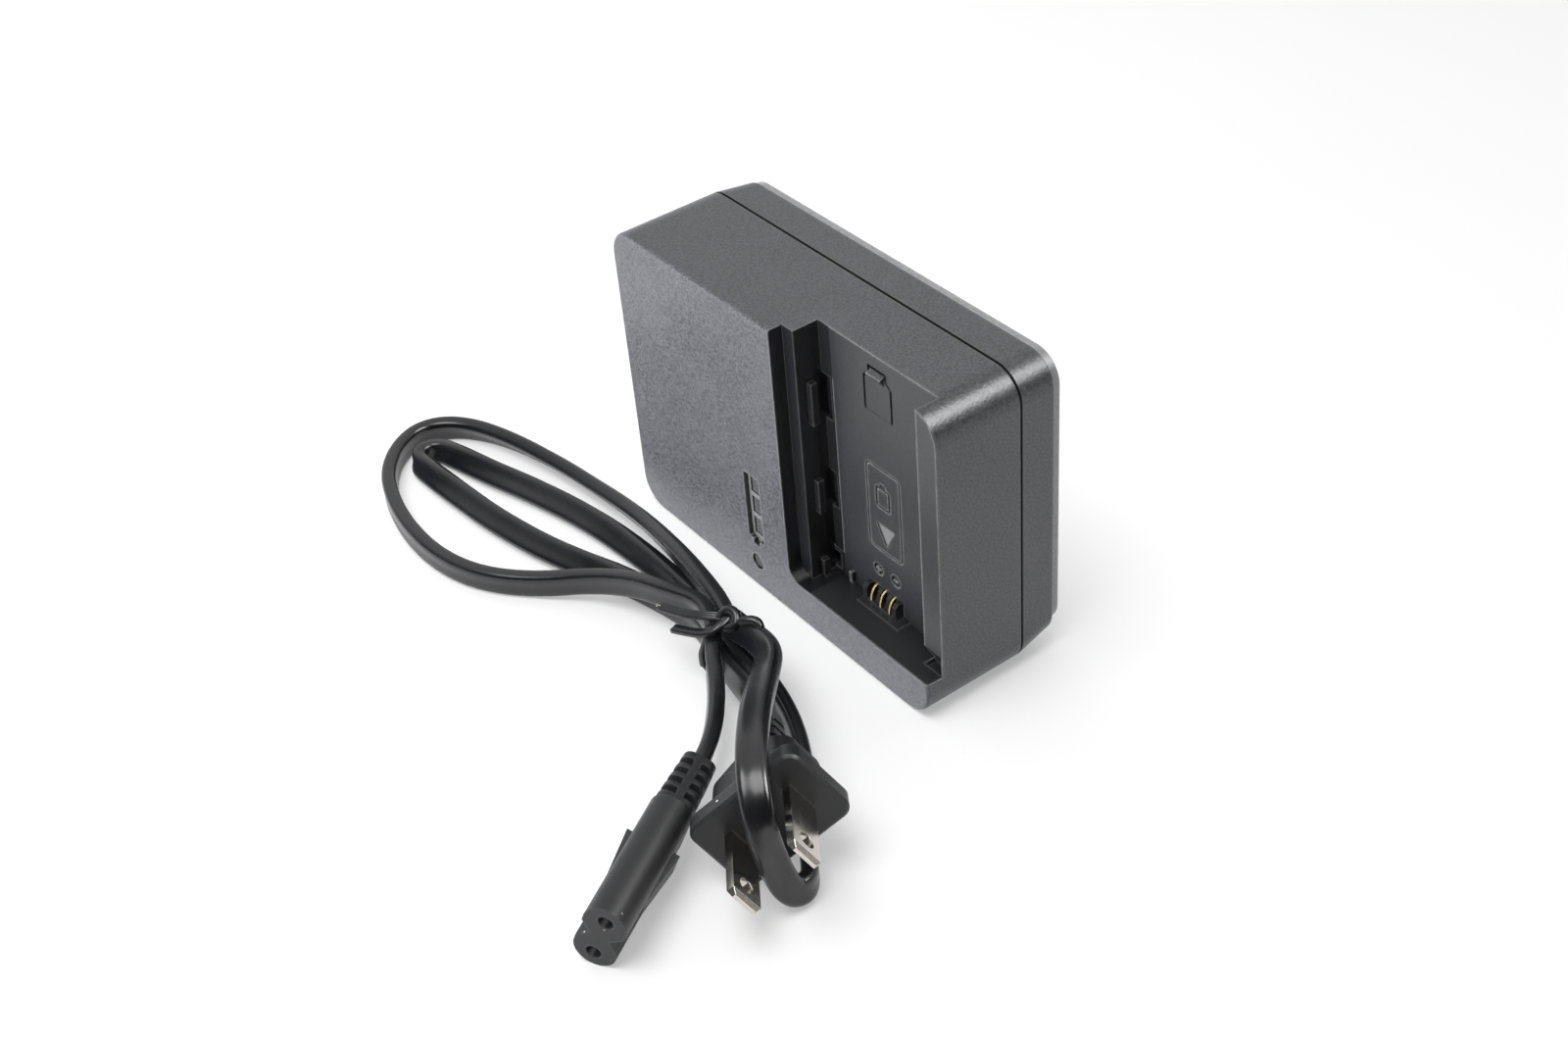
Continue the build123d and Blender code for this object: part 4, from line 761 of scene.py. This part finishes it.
# %% Cord jacket
JACKET_DARK = (0.004, 0.0042, 0.0052)
JACKET_PALE = (0.007, 0.0073, 0.0088)
JACKET_DUST = 0.4
JACKET_IOR = 1.6
JACKET_BUMP = 0.003
RUN_STRETCH = (60.0, 3.0, 1.0)
RUN_SPAN = (0.3, 0.7)


def jacket_plastic(name, roughness, specks):
    """Glossy black jacket with gloss that drifts along its run."""
    material, tree, shader = new_material(name)
    shader.inputs["IOR"].default_value = JACKET_IOR
    run = add_node(tree, "ShaderNodeUVMap", uv_map="run").outputs[0]
    along = add_node(tree, "ShaderNodeMapping", {"Vector": run, "Scale": RUN_STRETCH}).outputs[0]
    drift = add_node(tree, "ShaderNodeTexNoise", {"Vector": along, "Scale": 1.0, "Detail": 4.0}).outputs[0]
    place = place_in_mm(tree)
    dust = add_node(
        tree, "ShaderNodeGroup", {"Place": place, "Spread": 0.4, "Share": specks, "Size": 0.1}, node_tree=DUST
    )
    shift = ramp_value(tree, drift, *NOISE_SPAN, 0.0, 1.0)
    colour = blend_colours(tree, shift, shade(*JACKET_DARK), shade(*JACKET_PALE))
    colour = blend_colours(tree, dust.outputs[0], colour, shade(JACKET_DUST))
    fine = add_node(tree, "ShaderNodeTexNoise", {"Vector": place, "Scale": 1.6, "Detail": 3.0}).outputs[0]
    bump = add_node(tree, "ShaderNodeBump", {"Strength": 0.5, "Distance": JACKET_BUMP * MM, "Height": fine})
    gloss = ramp_value(tree, drift, *RUN_SPAN, roughness - 0.06, roughness + 0.08)
    tree.links.new(colour, shader.inputs["Base Color"])
    tree.links.new(gloss, shader.inputs["Roughness"])
    tree.links.new(bump.outputs[0], shader.inputs["Normal"])
    return material


jacket = jacket_plastic("cord_jacket", roughness=0.26, specks=0.03)
for piece in [lead_jacket, *tie_pieces]:
    piece.data.materials.append(jacket)
print("jacket on", 1 + len(tie_pieces), "pieces")

# %% [markdown]
# ## Ribs on the plug's grip
# Fingers pull the plug out by its grip, which has a row of fine ribs beside the flange on both broad sides.
# They repeat evenly, so Geometry Nodes make them: a line of points, one long rounded bar on each, and the
# bars joined to a plain mesh.

# %% Grip ribs
PLUG_AT = Vector((56.29, -58.23, 12.86))
PLUG_AXIS = Vector((0.8207, -0.5385, 0.1912)).normalized()
PLUG_LEAN = Vector((0.3398, 0.7289, 0.5943))
PLUG_ACROSS = (PLUG_LEAN - PLUG_AXIS * PLUG_AXIS.dot(PLUG_LEAN)).normalized()
PLUG_UP = PLUG_AXIS.cross(PLUG_ACROSS)
FLANGE_T = 3.5
RIB_COUNT = 5
RIB_FROM = (0.7, 6.45)
RIB_TO = (3.8, 5.78)
RIB_HALF = 5.6
RIB_R = 0.28


def rib_row_tree(finish):
    """A tree that puts bars on an even line of points."""
    tree = bpy.data.node_groups.new("rib_row", "GeometryNodeTree")
    tree.interface.new_socket("Count", in_out="INPUT", socket_type="NodeSocketInt")
    for label in ("Start", "Step", "Turn", "Size"):
        tree.interface.new_socket(label, in_out="INPUT", socket_type="NodeSocketVector")
    tree.interface.new_socket("Geometry", in_out="OUTPUT", socket_type="NodeSocketGeometry")
    given = tree.nodes.new("NodeGroupInput").outputs
    row = add_node(
        tree, "GeometryNodeMeshLine",
        {"Count": given["Count"], "Start Location": given["Start"], "Offset": given["Step"]}, mode="OFFSET",
    )
    bar = add_node(tree, "GeometryNodeMeshUVSphere", {"Segments": 10, "Rings": 12, "Radius": 1.0})
    bars = add_node(
        tree, "GeometryNodeInstanceOnPoints",
        {
            "Points": row.outputs[0], "Instance": bar.outputs[0],
            "Rotation": given["Turn"], "Scale": given["Size"],
        },
    )
    plain = add_node(tree, "GeometryNodeRealizeInstances", {0: bars.outputs[0]})
    dressed = add_node(tree, "GeometryNodeSetMaterial", {"Geometry": plain.outputs[0], "Material": finish})
    end = tree.nodes.new("NodeGroupOutput")
    tree.links.new(dressed.outputs[0], end.inputs[0])
    return tree


def rib_row(name, tree, values):
    """One row of ribs as a plain mesh."""
    holder = bpy.data.objects.new(name, bpy.data.meshes.new(name))
    bpy.context.scene.collection.objects.link(holder)
    modifier = holder.modifiers.new("ribs", "NODES")
    modifier.node_group = tree
    for socket in tree.interface.items_tree:
        if socket.in_out == "INPUT":
            modifier[socket.identifier] = values[socket.name]
    bpy.context.view_layer.update()
    depsgraph = bpy.context.evaluated_depsgraph_get()
    mesh = bpy.data.meshes.new_from_object(holder.evaluated_get(depsgraph))
    holder.modifiers.remove(modifier)
    holder.data = mesh
    mesh.polygons.foreach_set("use_smooth", [True] * len(mesh.polygons))
    return holder


def grip_place(behind, out):
    """A place on the plug's axis behind the flange, and out from it along its short side."""
    return (PLUG_AT - PLUG_AXIS * (FLANGE_T + behind) + PLUG_UP * out) * MM


rib_tree = rib_row_tree(overmould)
rib_turn = Matrix((PLUG_AXIS, PLUG_ACROSS.cross(PLUG_AXIS), PLUG_ACROSS)).transposed().to_euler()
rib_pieces = []
for side, label in ((1, "upper"), (-1, "lower")):
    first = grip_place(RIB_FROM[0], side * RIB_FROM[1])
    last = grip_place(RIB_TO[0], side * RIB_TO[1])
    rib_values = {
        "Count": RIB_COUNT, "Start": first, "Step": (last - first) / (RIB_COUNT - 1),
        "Turn": Vector(rib_turn), "Size": Vector((RIB_R, RIB_R, RIB_HALF)) * MM,
    }
    rib_pieces.append(rib_row("grip_ribs_" + label, rib_tree, rib_values))
print("ribs:", [len(piece.data.polygons) for piece in rib_pieces], "faces")

# %% [markdown]
# ## Floor and light
# The photograph has a plain white sweep and very soft studio light. One large overhead lamp makes the faint
# shadows. A broad fill from the front left lights the front face, and is kept out of reflections. The world
# is bright only at the back left, which the top face mirrors towards us. A lamp at the back right shows in
# reflections alone, as the pale band along the rounded corner. The floor glows a little farther out, so
# that it stays white where the lamps don't reach.

# %% Floor and lights
FLOOR_SIZE = 40.0
FLOOR_TONE = 0.77
FLOOR_SWING = 0.015
FLOOR_CLOUDS = 0.006
FLOOR_ROUGH = 0.8
FLOOR_GLOW = 0.1
FAR_GLOW = 0.85
GLOW_REACH = (350.0, 1600.0)
BRIGHT_SIDE = Vector((-0.655, 0.438, 0.616)).normalized()
WORLD_RANGE = ((0.2, 0.08), (0.85, 0.9))
LIGHTS = [
    ("overhead_key", (0.1, -0.45, 1.3), (0.0, -0.03, 0.0), 0.9, 10.8),
    ("corner_lamp", (0.57, 0.46, 0.86), (0.04, 0.0, 0.06), 0.65, 15.0),
    ("front_fill", (-0.75, -1.0, 0.1), (0.0, -0.03, 0.03), 1.0, 49.0),
]
SHADOW_MAKER = "overhead_key"
UNSEEN_IN_GLOSS = "front_fill"
ONLY_IN_GLOSS = "corner_lamp"


def sweep_material():
    """The white sweep: nearly even, with faint clouds, and glowing where the lamps don't reach."""
    material, tree, shader = new_material("white_sweep")
    place = place_in_mm(tree)
    cloud = add_node(tree, "ShaderNodeTexNoise", {"Vector": place, "Scale": FLOOR_CLOUDS, "Detail": 2.0})
    dim = shade(FLOOR_TONE - FLOOR_SWING)
    bright = shade(FLOOR_TONE + FLOOR_SWING)
    tree.links.new(blend_colours(tree, cloud.outputs[0], dim, bright), shader.inputs["Base Color"])
    shader.inputs["Roughness"].default_value = FLOOR_ROUGH
    shader.inputs["Emission Color"].default_value = shade(1.0)
    away = add_node(tree, "ShaderNodeVectorMath", {0: place}, operation="LENGTH").outputs["Value"]
    glow = ramp_value(tree, away, *GLOW_REACH, FLOOR_GLOW, FAR_GLOW)
    tree.links.new(glow, shader.inputs["Emission Strength"])
    return material


def make_world():
    """A white surround that fades from its bright side to the opposite one."""
    world = bpy.data.worlds.new("studio")
    world.use_nodes = True
    tree = world.node_tree
    facing = add_node(tree, "ShaderNodeTexCoord").outputs["Generated"]
    towards = add_node(
        tree, "ShaderNodeVectorMath", {0: facing, 1: BRIGHT_SIDE}, operation="DOT_PRODUCT"
    ).outputs["Value"]
    (low, dim), (high, bright) = WORLD_RANGE
    strength = ramp_value(tree, towards, low, high, dim, bright)
    tree.links.new(strength, tree.nodes["Background"].inputs["Strength"])
    tree.nodes["Background"].inputs["Color"].default_value = shade(1.0)
    bpy.context.scene.world = world


def make_stage():
    """The floor, the world and the lights."""
    half = FLOOR_SIZE / 2
    mesh = bpy.data.meshes.new("floor")
    corners = [(-half, -half, 0), (half, -half, 0), (half, half, 0), (-half, half, 0)]
    mesh.from_pydata(corners, [], [(0, 1, 2, 3)])
    floor = bpy.data.objects.new("floor", mesh)
    bpy.context.scene.collection.objects.link(floor)
    mesh.materials.append(sweep_material())
    make_world()
    for name, place, aim, size, power in LIGHTS:
        data = bpy.data.lights.new(name, "AREA")
        data.shape = "DISK"
        data.size = size
        data.energy = power
        lamp = bpy.data.objects.new(name, data)
        lamp.location = place
        lamp.rotation_euler = (Vector(aim) - Vector(place)).to_track_quat("-Z", "Y").to_euler()
        lamp.visible_glossy = name != UNSEEN_IN_GLOSS
        lamp.visible_diffuse = name != ONLY_IN_GLOSS
        data.use_shadow = name == SHADOW_MAKER
        bpy.context.scene.collection.objects.link(lamp)


make_stage()
bpy.context.scene.view_settings.view_transform = "Standard"
print("lights:", [row[0] for row in LIGHTS])

for piece in [lead_jacket, *tie_pieces]:
    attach(piece, "root")
for piece in rib_pieces:
    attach(piece, "root")
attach(tie_wire, "root")
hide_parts("lead_cord")
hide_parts("cord_tie")
